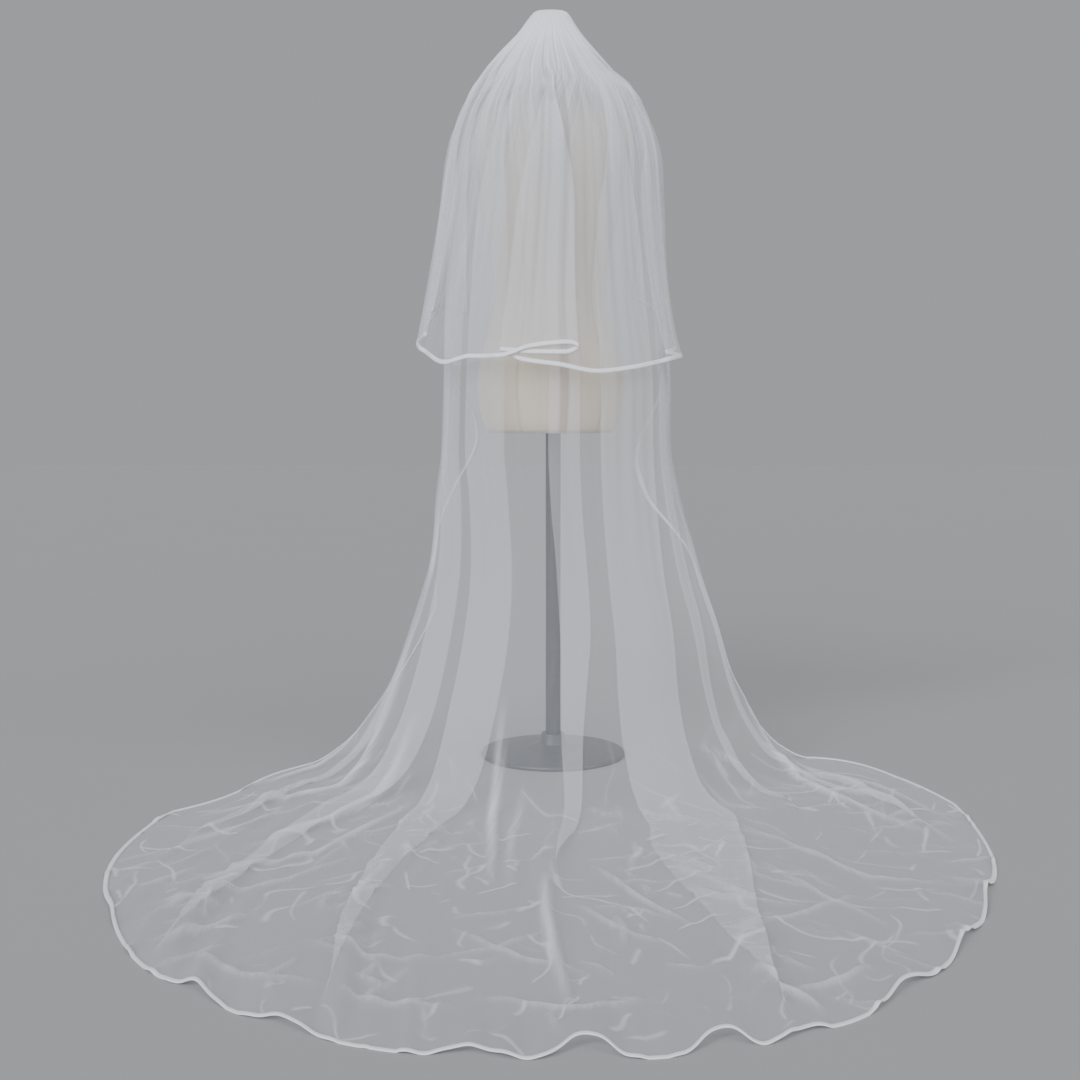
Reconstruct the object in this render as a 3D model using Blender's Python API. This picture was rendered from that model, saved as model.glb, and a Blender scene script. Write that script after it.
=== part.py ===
"""A two-tier bridal veil on a limbless dress form with a round foot.

Metres, Z up, the floor at z = 0 and the middle of the stand's foot at the origin.
The wearer faces +Y, so the train runs out along -Y.

Each tier is one flat panel of tulle. A point of a panel is known by two cloth sizes:
across (0 at the middle, + to the right) and along (0 at the comb, down to the hem).
Every cross row of a panel is folded in the plane first, into pleats that lie in three
layers, and is then laid round a table of rings: round the neck and the shoulders, down
past the form, and out over the floor. The wall is that surface with half its thickness
on either side, and each ribbon is the strip of its panel's own edge, moved out.
"""

import math

import bpy
import numpy as np

WALL = 0.0012
RIBBON_WIDTH = 0.0095
RIBBON_WALL = 0.0008
SEAM_GAP = 0.0003
LAYER_GAP = 0.0042
TURN_LENGTH = math.pi * LAYER_GAP / 2
RISE_LENGTH = 0.025
SMALLEST_PLEAT = 0.015

# The two panels: width, length down the middle of the back, length of the straight side
# edges, and how square the rounded end is.
LOWER_PANEL = {"width": 1.90, "length": 2.78, "side": 2.04, "square": 2.7}
UPPER_PANEL = {"width": 1.90, "length": 0.775, "side": 0.70, "square": 4.0}

# Rings that the long tier lies on. Columns: cloth length from the comb, height, half
# width, depth to the back, shift to the back, shift to the right, and the angles from the
# middle of the back to the left and to the right edge, in degrees.
LOWER_RINGS = (
    (0.000, 1.604, 0.040, 0.020, 0.034, 0.000, 72, 72),
    (0.050, 1.562, 0.066, 0.056, 0.018, -0.004, 94, 94),
    (0.100, 1.519, 0.097, 0.079, 0.012, -0.005, 108, 108),
    (0.150, 1.478, 0.127, 0.101, 0.008, -0.004, 114, 114),
    (0.200, 1.434, 0.157, 0.118, 0.004, 0.000, 118, 118),
    (0.250, 1.388, 0.180, 0.132, 0.000, 0.000, 120, 120),
    (0.320, 1.320, 0.199, 0.143, 0.000, 0.000, 122, 122),
    (0.440, 1.202, 0.212, 0.152, 0.000, 0.000, 124, 124),
    (0.600, 1.043, 0.222, 0.156, 0.000, 0.000, 128, 126),
    (0.815, 0.828, 0.235, 0.162, 0.000, 0.006, 136, 130),
    (0.945, 0.699, 0.240, 0.170, 0.000, 0.005, 134, 128),
    (1.075, 0.571, 0.258, 0.186, 0.000, 0.010, 118, 118),
    (1.215, 0.438, 0.288, 0.216, 0.000, 0.022, 110, 104),
    (1.355, 0.304, 0.332, 0.262, 0.000, 0.028, 104, 98),
    (1.500, 0.180, 0.376, 0.330, 0.000, 0.022, 97, 93),
    (1.600, 0.095, 0.424, 0.398, 0.000, 0.018, 91, 89),
    (1.690, 0.028, 0.488, 0.468, 0.000, 0.018, 87, 86),
    (1.760, 0.000, 0.560, 0.540, 0.000, 0.014, 82, 87),
    (1.900, 0.000, 0.780, 0.780, -0.100, 0.008, 62, 67),
    (2.100, 0.000, 1.020, 1.020, -0.140, 0.005, 51, 51.5),
    (2.350, 0.000, 1.300, 1.300, -0.170, 0.000, 43, 40.5),
    (2.600, 0.000, 1.550, 1.550, -0.170, 0.000, 36, 33.5),
    (2.800, 0.000, 1.750, 1.750, -0.170, 0.000, 31, 29),
)

UPPER_RINGS = (
    (0.000, 1.604, 0.046, 0.024, 0.038, 0.000, 74, 74),
    (0.050, 1.565, 0.074, 0.063, 0.021, -0.004, 98, 98),
    (0.100, 1.524, 0.112, 0.094, 0.013, -0.005, 110, 110),
    (0.150, 1.484, 0.146, 0.119, 0.008, -0.004, 115, 115),
    (0.200, 1.440, 0.178, 0.142, 0.004, 0.000, 118, 118),
    (0.250, 1.393, 0.201, 0.157, 0.000, 0.000, 120, 120),
    (0.320, 1.325, 0.218, 0.167, 0.000, 0.000, 121, 121),
    (0.440, 1.207, 0.230, 0.171, 0.000, -0.003, 124, 123),
    (0.600, 1.049, 0.249, 0.178, 0.000, -0.010, 132, 131),
    (0.720, 0.931, 0.272, 0.190, 0.000, -0.013, 139, 138),
    (0.800, 0.853, 0.294, 0.202, 0.000, -0.013, 141, 141),
)

# How far the side edges of the long tier swing to the front, in degrees. Columns: cloth
# length from the comb, left edge, right edge. The short tier's edges don't swing.
LOWER_SWINGS = (
    (0.000, 0, 0),
    (0.320, 0, 0),
    (0.440, -5, -6),
    (0.600, -26, -22),
    (0.700, -36, -34),
    (0.760, -36, -37),
    (0.815, -24, -31),
    (0.880, -5, -14),
    (0.945, 0, 1),
    (1.010, -2, 9),
    (1.075, -7, 11),
    (1.145, -18, 3),
    (1.215, -16, -8),
    (1.285, 4, -10),
    (1.355, 12, -8),
    (1.500, 9, -4),
    (1.600, 4, -2),
    (1.690, 0, 0),
    (2.800, 0, 0),
)
UPPER_SWINGS = ((0.000, 0, 0), (0.800, 0, 0))
SWING_START = 0.62

# Cross rows of each panel, as shares of its length.
LOWER_ROWS = (0.0, 0.02, 0.045, 0.072, 0.10, 0.13, 0.17, 0.22, 0.29, 0.37, 0.45, 0.53, 0.60,
              0.635, 0.665, 0.695, 0.725, 0.755, 0.785, 0.82, 0.86, 0.90, 0.94, 0.97, 1.0)
UPPER_ROWS = (0.0, 0.06, 0.125, 0.19, 0.26, 0.34, 0.43, 0.55, 0.68, 0.80, 0.91, 1.0)

# Pleats, from the left edge to the right. Columns: middle of the pleat on the panel, width
# of each of its three layers, the side its open fold lies to (+1 right), the numbers of the
# cross rows at which its fold begins to turn over, is at its full width, begins to narrow
# and last shows, and the number of extra lines over each layer.
LOWER_PLEATS = (
    (-0.795, 0.040, -1, 3, 8, 11, 21, 0),
    (-0.580, 0.075, -1, 3, 8, 13, 22, 1),
    (-0.310, 0.085, -1, 3, 8, 14, 23, 1),
    (-0.015, 0.060, 1, 3, 8, 12, 20, 0),
    (0.310, 0.130, 1, 3, 8, 17, 22, 2),
    (0.620, 0.050, 1, 3, 8, 10, 18, 0),
    (0.800, 0.040, 1, 3, 8, 11, 21, 0),
)

UPPER_PLEATS = (
    (-0.780, 0.050, -1, 3, 8, 20, 30, 0),
    (-0.520, 0.070, -1, 3, 8, 20, 30, 1),
    (0.020, 0.140, 1, 3, 8, 20, 30, 2),
    (0.520, 0.070, 1, 3, 8, 20, 30, 1),
    (0.780, 0.050, 1, 3, 8, 20, 30, 0),
)

# Soft lines of a panel between its pleats, left to right: how many stand in each gap.
LOWER_GAP_LINES = (1, 2, 2, 2, 2, 3, 1, 1)
UPPER_GAP_LINES = (1, 2, 3, 3, 2, 1)

# Dress form rings from the bottom up: height, half width, half depth.
FORM_RINGS = (
    (0.720, 0.134, 0.104),
    (0.727, 0.142, 0.111),
    (0.762, 0.153, 0.121),
    (0.812, 0.161, 0.127),
    (0.865, 0.157, 0.122),
    (0.940, 0.136, 0.106),
    (1.020, 0.122, 0.094),
    (1.100, 0.129, 0.098),
    (1.190, 0.148, 0.107),
    (1.270, 0.159, 0.109),
    (1.335, 0.166, 0.101),
    (1.375, 0.167, 0.086),
    (1.402, 0.153, 0.074),
    (1.426, 0.121, 0.065),
    (1.450, 0.086, 0.059),
    (1.476, 0.063, 0.055),
    (1.510, 0.053, 0.052),
    (1.553, 0.049, 0.049),
)
FORM_SHIFT = -0.006
FORM_SIDES = 28

NECK_CAP_PROFILE = (
    (0.0, 1.5533), (0.042, 1.5533), (0.0459, 1.557), (0.0459, 1.572), (0.041, 1.578), (0.0, 1.580),
)
BASE_PROFILE = ((0.0, 0.0), (0.158, 0.0), (0.161, 0.004), (0.158, 0.010), (0.060, 0.018), (0.030, 0.026),
                (0.026, 0.050), (0.0, 0.050))
POLE_PROFILE = ((0.0, 0.0503), (0.0165, 0.0503), (0.0165, 0.7197), (0.0, 0.7197))


def clear_scene():
    """Remove every object, so that the result depends on this script only."""
    for item in list(bpy.data.objects):
        bpy.data.objects.remove(item, do_unlink=True)


def add_object(name, points, faces):
    """Make a mesh object of this name from points and faces, its faces turned outward."""
    mesh = bpy.data.meshes.new(name)
    mesh.from_pydata([tuple(map(float, point)) for point in points], [], faces)
    mesh.validate()
    mesh.update()
    item = bpy.data.objects.new(name, mesh)
    bpy.context.scene.collection.objects.link(item)
    if signed_volume(mesh) < 0:
        mesh.flip_normals()
    return item


def signed_volume(mesh):
    """Volume inside a closed mesh, below zero where its faces look inward."""
    mesh.calc_loop_triangles()
    points = np.array([vertex.co[:] for vertex in mesh.vertices])
    corners = np.array([triangle.vertices[:] for triangle in mesh.loop_triangles])
    first, second, third = (points[corners[:, side]] for side in range(3))
    return float(np.sum(first * np.cross(second, third)) / 6)


def smooth_curve(places, values, wanted):
    """Smooth curve through a table's values that never overshoots them."""
    places = np.asarray(places, float)
    values = np.asarray(values, float)
    steps = np.diff(places)
    rises = np.diff(values) / steps
    slopes = np.zeros(len(places))
    same_way = rises[:-1] * rises[1:] > 0
    weight_a = 2 * steps[1:] + steps[:-1]
    weight_b = steps[1:] + 2 * steps[:-1]
    safe_a = np.where(same_way, rises[:-1], 1.0)
    safe_b = np.where(same_way, rises[1:], 1.0)
    slopes[1:-1] = np.where(same_way, (weight_a + weight_b) / (weight_a / safe_a + weight_b / safe_b), 0.0)
    slopes[0] = rises[0]
    slopes[-1] = rises[-1]
    wanted = np.clip(wanted, places[0], places[-1])
    cell = np.clip(np.searchsorted(places, wanted, side="right") - 1, 0, len(steps) - 1)
    share = (wanted - places[cell]) / steps[cell]
    low = (1 + 2 * share) * (1 - share) ** 2 * values[cell]
    low = low + share * (1 - share) ** 2 * steps[cell] * slopes[cell]
    high = share ** 2 * (3 - 2 * share) * values[cell + 1]
    return low + high + share ** 2 * (share - 1) * steps[cell] * slopes[cell + 1]


def ease(start, end, value):
    """Soft step from 0 at start to 1 at end."""
    share = np.clip((value - start) / (end - start), 0.0, 1.0)
    return share * share * (3 - 2 * share)


def panel_end(panel, across):
    """Cloth length of the panel's outline at each place across it."""
    share = np.abs(across) / (panel["width"] / 2)
    return panel["side"] + (panel["length"] - panel["side"]) * (1 - share ** panel["square"])


def ribbon_line(panel, across):
    """Cloth length at the inner side of the hem ribbon, one ribbon's width in from the outline."""
    share = np.abs(across) / (panel["width"] / 2)
    reach = panel["length"] - panel["side"]
    slope = reach * panel["square"] * share ** (panel["square"] - 1) / (panel["width"] / 2)
    return panel_end(panel, across) - RIBBON_WIDTH * np.sqrt(1 + slope ** 2)


def ring_point(rings, turn, along):
    """Point of the ring surface at a share of the turn (-1 left edge, +1 right edge) and a cloth length.

    The cloth near a side edge goes with the edge as it swings forward and back."""
    table = np.array(rings["table"], float)
    swings = np.array(rings["swings"], float)
    height, half_width, depth, back, side, left, right = (
        smooth_curve(table[:, 0], table[:, column], along) for column in range(1, 8))
    swing_left, swing_right = (smooth_curve(swings[:, 0], swings[:, column], along) for column in (1, 2))
    near_edge = ease(SWING_START, 1.0, np.abs(turn)) * np.sign(turn)
    angle = np.where(turn < 0, left, right) * turn + np.where(turn < 0, swing_left, swing_right) * near_edge
    angle = np.radians(angle)
    return np.stack([side + half_width * np.sin(angle), -(back + depth * np.cos(angle)), height], axis=-1)


def ring_outward(rings, turn, along):
    """Direction straight out of the ring surface."""
    step = 0.004
    round_way = ring_point(rings, turn + step, along) - ring_point(rings, turn - step, along)
    down_way = ring_point(rings, turn, along + step) - ring_point(rings, turn, along - step)
    outward = np.cross(down_way, round_way)
    return outward / np.linalg.norm(outward, axis=-1, keepdims=True)


def pleat_state(pleat, row):
    """Width of a pleat's layers and how far its cloth is turned over (0 flat, pi doubled back)."""
    middle, width, side, first, full, narrow, last, lines = pleat
    grown = ease(first, full, row) * (1 - ease(narrow, last, row))
    turned = np.clip((row - first + 1) / 3, 0, 1) * np.clip((last + 1 - row) / 3, 0, 1)
    return SMALLEST_PLEAT + (width - SMALLEST_PLEAT) * grown, math.pi * turned


def pleat_lines(pleat, width):
    """Places across the panel of the lines that a pleat needs, so that its layers lie line on line."""
    middle, side, lines = pleat[0], pleat[2], pleat[7]
    half_turn = TURN_LENGTH / 2
    layers = ((-1.5 * width, -0.5 * width - half_turn), (-0.5 * width + half_turn, 0.5 * width - half_turn),
              (0.5 * width + half_turn, 1.5 * width))
    places = [middle - side * (1.5 * width + RISE_LENGTH)]
    for start, end in layers:
        places += [middle + side * (start + (end - start) * line / (lines + 1)) for line in range(lines + 2)]
    return sorted(places)


def panel_lines(panel, pleats, gap_lines, widths):
    """Places of all of a panel's lines along one row, and a share (-1 to 1) by which each stands out."""
    edge = panel["width"] / 2
    places = [-edge, -edge + RIBBON_WIDTH]
    stands = [0.6, 0.6]
    for number in range(len(pleats) + 1):
        if number < len(pleats):
            group = pleat_lines(pleats[number], widths[number])
        else:
            group = [edge - RIBBON_WIDTH, edge]
        count = gap_lines[number]
        first = places[-1]
        spacing = (group[0] - first) / (count + 1)
        share = min(1.0, spacing / 0.03)
        for line in range(count):
            places.append(first + spacing * (line + 1))
            stands.append(share if line % 2 == 0 else -0.5 * share)
        places += group
        stands += [0.0] * len(group) if number < len(pleats) else [0.6, 0.6]
    return np.array(places), np.array(stands)


def fold_row(panel, pleats, states, places):
    """Fold one row flat: its run round the veil (-1 to 1) and its height over the ring, at each place."""
    edge = panel["width"] / 2
    fine = np.linspace(-edge, edge, 4001)
    step = fine[1] - fine[0]
    heading = np.zeros_like(fine)
    lift_rate = np.zeros_like(fine)
    rises = np.zeros_like(fine)
    for pleat, (width, turned) in zip(pleats, states):
        middle, side = pleat[0], pleat[2]
        own = turned * np.clip((width / 2 + TURN_LENGTH / 2 - np.abs(fine - middle)) / TURN_LENGTH, 0.0, 1.0)
        heading += own
        lift_rate -= side * np.sin(own)
        drop = float(np.sum(np.sin(own)) * step)
        outer = middle - side * 1.5 * width
        if side > 0:
            rises += drop * ease(outer - RISE_LENGTH, outer, fine)
        else:
            rises -= drop * ease(outer, outer + RISE_LENGTH, fine)
    run = np.concatenate([[0.0], np.cumsum((np.cos(heading[1:]) + np.cos(heading[:-1])) / 2) * step])
    lift = np.concatenate([[0.0], np.cumsum((lift_rate[1:] + lift_rate[:-1]) / 2) * step]) + rises
    run -= np.interp(0.0, fine, run)
    run = np.where(run < 0, run / -run[0], run / run[-1])
    return np.interp(places, fine, run), np.interp(places, fine, lift)


def panel_points(panel, rings, pleats, gap_lines, rows):
    """Grid of the panel's middle surface, rows by lines across, and the cells to cut the other way.

    Layers that lie on each other are cut alike, and the left half mirrors the right."""
    edge = panel["width"] / 2
    grid = []
    runs = []
    for row, share in enumerate(tuple(rows) + (1.0,)):
        states = [pleat_state(pleat, row) for pleat in pleats]
        places, stands = panel_lines(panel, pleats, gap_lines, [width for width, turned in states])
        run, lift = fold_row(panel, pleats, states, places)
        run = np.clip(run, -1.0, 1.0)
        outline = ribbon_line if row < len(rows) else panel_end
        end = outline(panel, run * edge)
        end += (outline(panel, places) - end) * ease(0.9, 1.0, share)
        along = share * panel["side"] + (end - panel["side"]) * max(0.0, (share - 0.6) / 0.4) ** 1.5
        closeness = np.interp(along, (0.0, 0.16, 0.25, 0.36), (0.25, 0.35, 0.6, 1.0))
        flute = 0.0035 * ease(0.02, 0.3, along) * (1 - ease(1.45, 1.80, along)) * stands
        outward = ring_outward(rings, run, along)
        point = ring_point(rings, run, along) + outward * (lift * closeness + flute)[:, None]
        point[:, 2] = np.maximum(point[:, 2], WALL / 2)
        grid.append(point)
        runs.append(run)
    runs = np.array(runs)
    over = np.diff(runs, axis=1)
    left = runs[:-1, :-1] + runs[1:, 1:] < 0
    return np.array(grid), (over[:-1] + over[1:] < 0) != left


def grid_outward(grid):
    """Direction out of a grid's face at each of its points, opened up at sharp folds.

    It is level along the top row, which ends flat under the gather band."""
    cells_down = grid[1:, :] - grid[:-1, :]
    cells_over = grid[:, 1:] - grid[:, :-1]
    face = np.cross(cells_down[:, :-1] + cells_down[:, 1:], cells_over[:-1, :] + cells_over[1:, :])
    face /= np.maximum(np.linalg.norm(face, axis=-1, keepdims=True), 1e-12)
    padded = np.zeros((grid.shape[0] + 1, grid.shape[1] + 1, 3))
    padded[1:-1, 1:-1] = face
    padded[0, 1:-1], padded[-1, 1:-1] = face[0], face[-1]
    padded[:, 0], padded[:, -1] = padded[:, 1], padded[:, -2]
    total = padded[:-1, :-1] + padded[1:, :-1] + padded[:-1, 1:] + padded[1:, 1:]
    total[0, :, 2] = 0.0
    length = np.maximum(np.linalg.norm(total, axis=-1, keepdims=True), 1e-9)
    return total / length * np.minimum(4.0 / length, 1.35)


def build_wall(name, near, far, cells, cut_back):
    """A closed wall between two grids, over some of their cells.

    Both grids are cut along the same diagonals, so that the wall keeps its thickness, and
    cut_back marks the cells that are cut along the other diagonal."""
    numbers = {}
    points = []
    faces = []

    def corner(place, side):
        key = (place, side)
        if key not in numbers:
            numbers[key] = len(points)
            points.append((near, far)[side][place])
        return numbers[key]

    for row, line in sorted(cells):
        ring = ((row, line), (row + 1, line), (row + 1, line + 1), (row, line + 1))
        neighbours = ((row, line - 1), (row + 1, line), (row, line + 1), (row - 1, line))
        for number, neighbour in enumerate(neighbours):
            if neighbour not in cells:
                start, end = ring[number], ring[(number + 1) % 4]
                faces.append((corner(start, 0), corner(end, 0), corner(end, 1), corner(start, 1)))
        if cut_back[row, line]:
            ring = ring[1:] + ring[:1]
        for one, two, three in ((ring[0], ring[1], ring[2]), (ring[0], ring[2], ring[3])):
            faces.append((corner(one, 0), corner(three, 0), corner(two, 0)))
            faces.append((corner(one, 1), corner(two, 1), corner(three, 1)))
    return add_object(name, points, faces)


def build_panel(name, grid, cut_back):
    """The panel as a wall of the cloth's thickness about its middle surface."""
    outward = grid_outward(grid) * WALL / 2
    near = grid - outward
    far = grid + outward
    for side in (near, far):
        side[:, :, 2] = np.maximum(side[:, :, 2], 0.0)
    rows, lines = cut_back.shape
    cells = {(row, line) for row in range(rows) for line in range(lines)}
    return build_wall(name, near, far, cells, cut_back)


def build_ribbon(name, grid, cut_back):
    """The ribbon round a panel's two side edges and its hem, a strip of the panel's face moved out."""
    outward = grid_outward(grid)
    near = grid + outward * (WALL / 2 + SEAM_GAP)
    far = grid + outward * (WALL / 2 + SEAM_GAP + RIBBON_WALL)
    rows, lines = cut_back.shape
    cells = {(rows - 1, line) for line in range(lines)}
    cells |= {(row, line) for row in range(rows) for line in (0, lines - 1)}
    return build_wall(name, near, far, cells, cut_back)


def build_turned(name, profile, sides):
    """A turned body from the middle of its underside to the middle of its top."""
    points = [(0.0, 0.0, profile[0][1])]
    for radius, height in profile[1:-1]:
        for side in range(sides):
            angle = 2 * math.pi * side / sides
            points.append((radius * math.cos(angle), radius * math.sin(angle), height))
    points.append((0.0, 0.0, profile[-1][1]))
    return add_object(name, points, ring_faces(len(profile) - 2, sides))


def ring_faces(rings, sides):
    """Faces of a closed stack of rings with one point below them and one above them."""
    top = rings * sides + 1
    faces = []
    for side in range(sides):
        after = (side + 1) % sides
        faces.append((0, 1 + after, 1 + side))
        for ring in range(rings - 1):
            low = 1 + ring * sides
            high = low + sides
            faces.append((low + side, low + after, high + after, high + side))
        last = 1 + (rings - 1) * sides
        faces.append((last + side, last + after, top))
    return faces


def build_form():
    """The limbless torso, oval at every height, with a flat underside and a plain neck."""
    table = np.array(FORM_RINGS)
    points = [(FORM_SHIFT, 0.0, table[0, 0])]
    for height, half_width, half_depth in FORM_RINGS:
        shift = FORM_SHIFT * (1 - ease(1.40, 1.50, height))
        squareness = 0.92 + 0.08 * ease(1.38, 1.46, height)
        for side in range(FORM_SIDES):
            angle = 2 * math.pi * side / FORM_SIDES
            over = math.copysign(abs(math.cos(angle)) ** squareness, math.cos(angle))
            deep = math.copysign(abs(math.sin(angle)) ** squareness, math.sin(angle))
            points.append((shift + half_width * over, half_depth * deep, height))
    points.append((0.0, 0.0, table[-1, 0]))
    return add_object("dress_form", points, ring_faces(len(FORM_RINGS), FORM_SIDES))


def build_gather_band():
    """The stitched band over the gathered tops of both tiers, bent to the back of the neck."""
    count = 15
    angles = np.radians(np.linspace(-78, 78, count))
    points = []
    for angle in angles:
        for half_width, depth, back, height in ((0.036, 0.0105, 0.034, 1.6043), (0.051, 0.029, 0.038, 1.6043),
                                                (0.050, 0.028, 0.038, 1.6103), (0.037, 0.0115, 0.034, 1.6103)):
            points.append((half_width * math.sin(angle), -(back + depth * math.cos(angle)), height))
    faces = [(0, 1, 2, 3), tuple(len(points) - 1 - corner for corner in range(4))]
    for step in range(count - 1):
        base = step * 4
        for side in range(4):
            after = (side + 1) % 4
            faces.append((base + side, base + 4 + side, base + 4 + after, base + after))
    return add_object("gather_band", points, faces)


def build_comb():
    """The hair comb behind the neck cap: a bent bar with thirteen teeth that narrow downward."""
    teeth = 13
    cells = 2 * teeth - 1
    angles = np.radians(np.linspace(-46, 46, cells + 1))
    narrowing = np.where(np.arange(cells + 1) % 2 == 0, 0.28, -0.28) * (angles[1] - angles[0])
    grids = []
    for radius in (0.0462, 0.0476):
        grid = []
        for height, inward in ((1.6040, 0.0), (1.5935, 0.0), (1.5580, 1.0)):
            row = angles + inward * narrowing
            level = np.full_like(row, height)
            grid.append(np.stack([radius * np.sin(row), -radius * np.cos(row), level], axis=-1))
        grids.append(np.array(grid))
    filled = {(0, cell) for cell in range(cells)} | {(1, cell) for cell in range(0, cells, 2)}
    return build_wall("comb", grids[0], grids[1], filled, np.zeros((2, cells), bool))


def build():
    """Make every piece of the veil and of the form that it hangs on."""
    clear_scene()
    lower_rings = {"table": LOWER_RINGS, "swings": LOWER_SWINGS}
    upper_rings = {"table": UPPER_RINGS, "swings": UPPER_SWINGS}
    lower = panel_points(LOWER_PANEL, lower_rings, LOWER_PLEATS, LOWER_GAP_LINES, LOWER_ROWS)
    upper = panel_points(UPPER_PANEL, upper_rings, UPPER_PLEATS, UPPER_GAP_LINES, UPPER_ROWS)
    build_panel("lower_tier", *lower)
    build_ribbon("lower_tier_ribbon", *lower)
    build_panel("upper_tier", *upper)
    build_ribbon("upper_tier_ribbon", *upper)
    build_gather_band()
    build_comb()
    build_form()
    build_turned("neck_cap", NECK_CAP_PROFILE, 28)
    build_turned("stand_pole", POLE_PROFILE, 20)
    build_turned("stand_base", BASE_PROFILE, 36)


build()
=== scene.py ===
"""Looks of a two-tier bridal veil on a limbless dress form.

Metres, Z up, the floor at z = 0, the wearer facing +Y and the train running out along -Y.

Each tier is one panel of tulle, laid on the same table of rings as its solid. A point of a
panel is known by two cloth sizes: across (0 at the middle, + to the right) and along (0 at
the comb, down to the hem). Pleats are folded over in the plane of a cross row first, and
the row is then wrapped round the rings. Gathers, creases and the waves of the hem are soft
moves of that surface along its own outward direction.
"""

import logging
import math
from dataclasses import dataclass, field
from enum import Enum
from typing import Any, Optional, Sequence

import bpy
import numpy as np
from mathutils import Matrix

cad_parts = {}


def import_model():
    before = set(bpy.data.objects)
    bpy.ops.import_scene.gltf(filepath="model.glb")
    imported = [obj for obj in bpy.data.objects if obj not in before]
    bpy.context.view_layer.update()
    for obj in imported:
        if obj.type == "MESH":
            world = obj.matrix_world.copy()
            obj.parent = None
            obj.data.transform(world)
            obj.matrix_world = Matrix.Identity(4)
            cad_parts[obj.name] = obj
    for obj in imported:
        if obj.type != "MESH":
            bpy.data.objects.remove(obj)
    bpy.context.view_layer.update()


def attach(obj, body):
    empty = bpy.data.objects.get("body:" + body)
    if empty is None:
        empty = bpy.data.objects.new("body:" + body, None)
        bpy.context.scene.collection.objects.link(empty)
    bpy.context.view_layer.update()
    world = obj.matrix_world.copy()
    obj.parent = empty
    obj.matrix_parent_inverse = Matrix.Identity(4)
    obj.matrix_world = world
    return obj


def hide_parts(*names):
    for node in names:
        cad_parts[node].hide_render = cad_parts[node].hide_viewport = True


LOG = logging.getLogger("bridal_veil")

# The ribbon, with how many cells lie across it, and the height at which cloth rests on the floor.
RIBBON_WIDTH = 0.0095
RIBBON_THICKNESS = 0.0013
RIBBON_CELLS = 3
CLOTH_REST = 0.0008

# A pleat's gap between layers, the cloth in one turn and in the rise before the outer layer,
# its width where it starts, and in how many places a folded row is worked out.
LAYER_GAP = 0.0042
TURN_LENGTH = math.pi * LAYER_GAP / 2
RISE_LENGTH = 0.025
SMALLEST_PLEAT = 0.015
FOLD_PLACES = 6001

# How much closer the lines of the sheet lie where the cloth turns, how crowded it may be, and
# how crowded a crease of full height looks.
TURN_CROWDING = 3.4
MOST_CROWDING = 14.0
CREASE_CROWDING = 2.6
FULL_CREASE = 0.011
LINE_POWER = 1.5

# Cloth length from which the train is creased, share of the way round at which a side edge
# begins to swing, and the step between the points from which a direction is taken.
TRAIN_START = 1.35
EDGE_START = 0.62
RING_STEP = 0.004

# Share of the side edge from which rows spread to the round end, the power with which they do,
# the share from which they follow it exactly, and how far the waves of the hem reach up.
SPREAD_START = 0.6
SPREAD_POWER = 1.5
END_START = 0.9
HEM_DRAWN_REACH = 0.20
HEM_LIFTED_REACH = 0.10

# Cloth lengths near the comb, and how much of the folds' height is left there.
FOLD_GROWTH = ((0.0, 0.16, 0.25, 0.36), (0.25, 0.35, 0.6, 1.0))

Row = tuple[float, ...]
Array = np.ndarray


class Held(Enum):
    """How a sheet of cloth is kept up."""

    GATHERED = "gathered"


class Stage(Enum):
    """Names of the things round the veil that are no part of it."""

    FLOOR = "studio_floor"
    KEY = "key_light"
    FILL = "fill_light"
    CAMERA = "photo_camera"


def node_sum(operation: str, number_first: bool = False) -> Any:
    """Make a method that writes a sum with a Socket as one Math node.

    Args:
        operation: the node's operation.
        number_first: whether the other value comes before the Socket's own.

    Returns:
        The method.
    """

    def method(self: "Socket", other: Any) -> "Socket":
        """Result of the operation on this value and another one."""
        values = (other, self) if number_first else (self, other)
        return self._math(operation, *values)

    return method


class Socket:
    """One value of a shader, on which sums are written as Python expressions."""

    __add__ = node_sum("ADD")
    __radd__ = node_sum("ADD", number_first=True)
    __sub__ = node_sum("SUBTRACT")
    __rsub__ = node_sum("SUBTRACT", number_first=True)
    __mul__ = node_sum("MULTIPLY")
    __rmul__ = node_sum("MULTIPLY", number_first=True)
    __truediv__ = node_sum("DIVIDE")
    __rtruediv__ = node_sum("DIVIDE", number_first=True)
    __pow__ = node_sum("POWER")
    __rpow__ = node_sum("POWER", number_first=True)

    def __init__(self, paint: "Paint", link: Any) -> None:
        """Keep the node tree that the value belongs to and the socket that gives it."""
        self.paint = paint
        self.link = link

    def _math(self, operation: str, *values: Any, **settings: Any) -> "Socket":
        """Add one Math node.

        Args:
            operation: the node's operation.
            values: its inputs in order, numbers or sockets.
            settings: other settings of the node.

        Returns:
            The node's result.
        """
        inputs = {number: value for number, value in enumerate(values)}
        return self.paint.node("ShaderNodeMath", {"operation": operation, **settings}, inputs)

    def wave(self) -> "Socket":
        """Sine of the value."""
        return self._math("SINE", self)

    def clamped(self) -> "Socket":
        """The value kept between 0 and 1."""
        return self._math("ADD", self, 0.0, use_clamp=True)

    def at_most(self, most: float) -> "Socket":
        """The value, but never over most."""
        return self._math("MINIMUM", self, most)

    def at_least(self, least: float) -> "Socket":
        """The value, but never under least."""
        return self._math("MAXIMUM", self, least)

    def eased(self, start: float, end: float) -> "Socket":
        """Soft step of the value from 0 at start to 1 at end."""
        return self.paint.node(
            "ShaderNodeMapRange",
            {"interpolation_type": "SMOOTHSTEP"},
            {"Value": self, "From Min": start, "From Max": end},
        )


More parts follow.
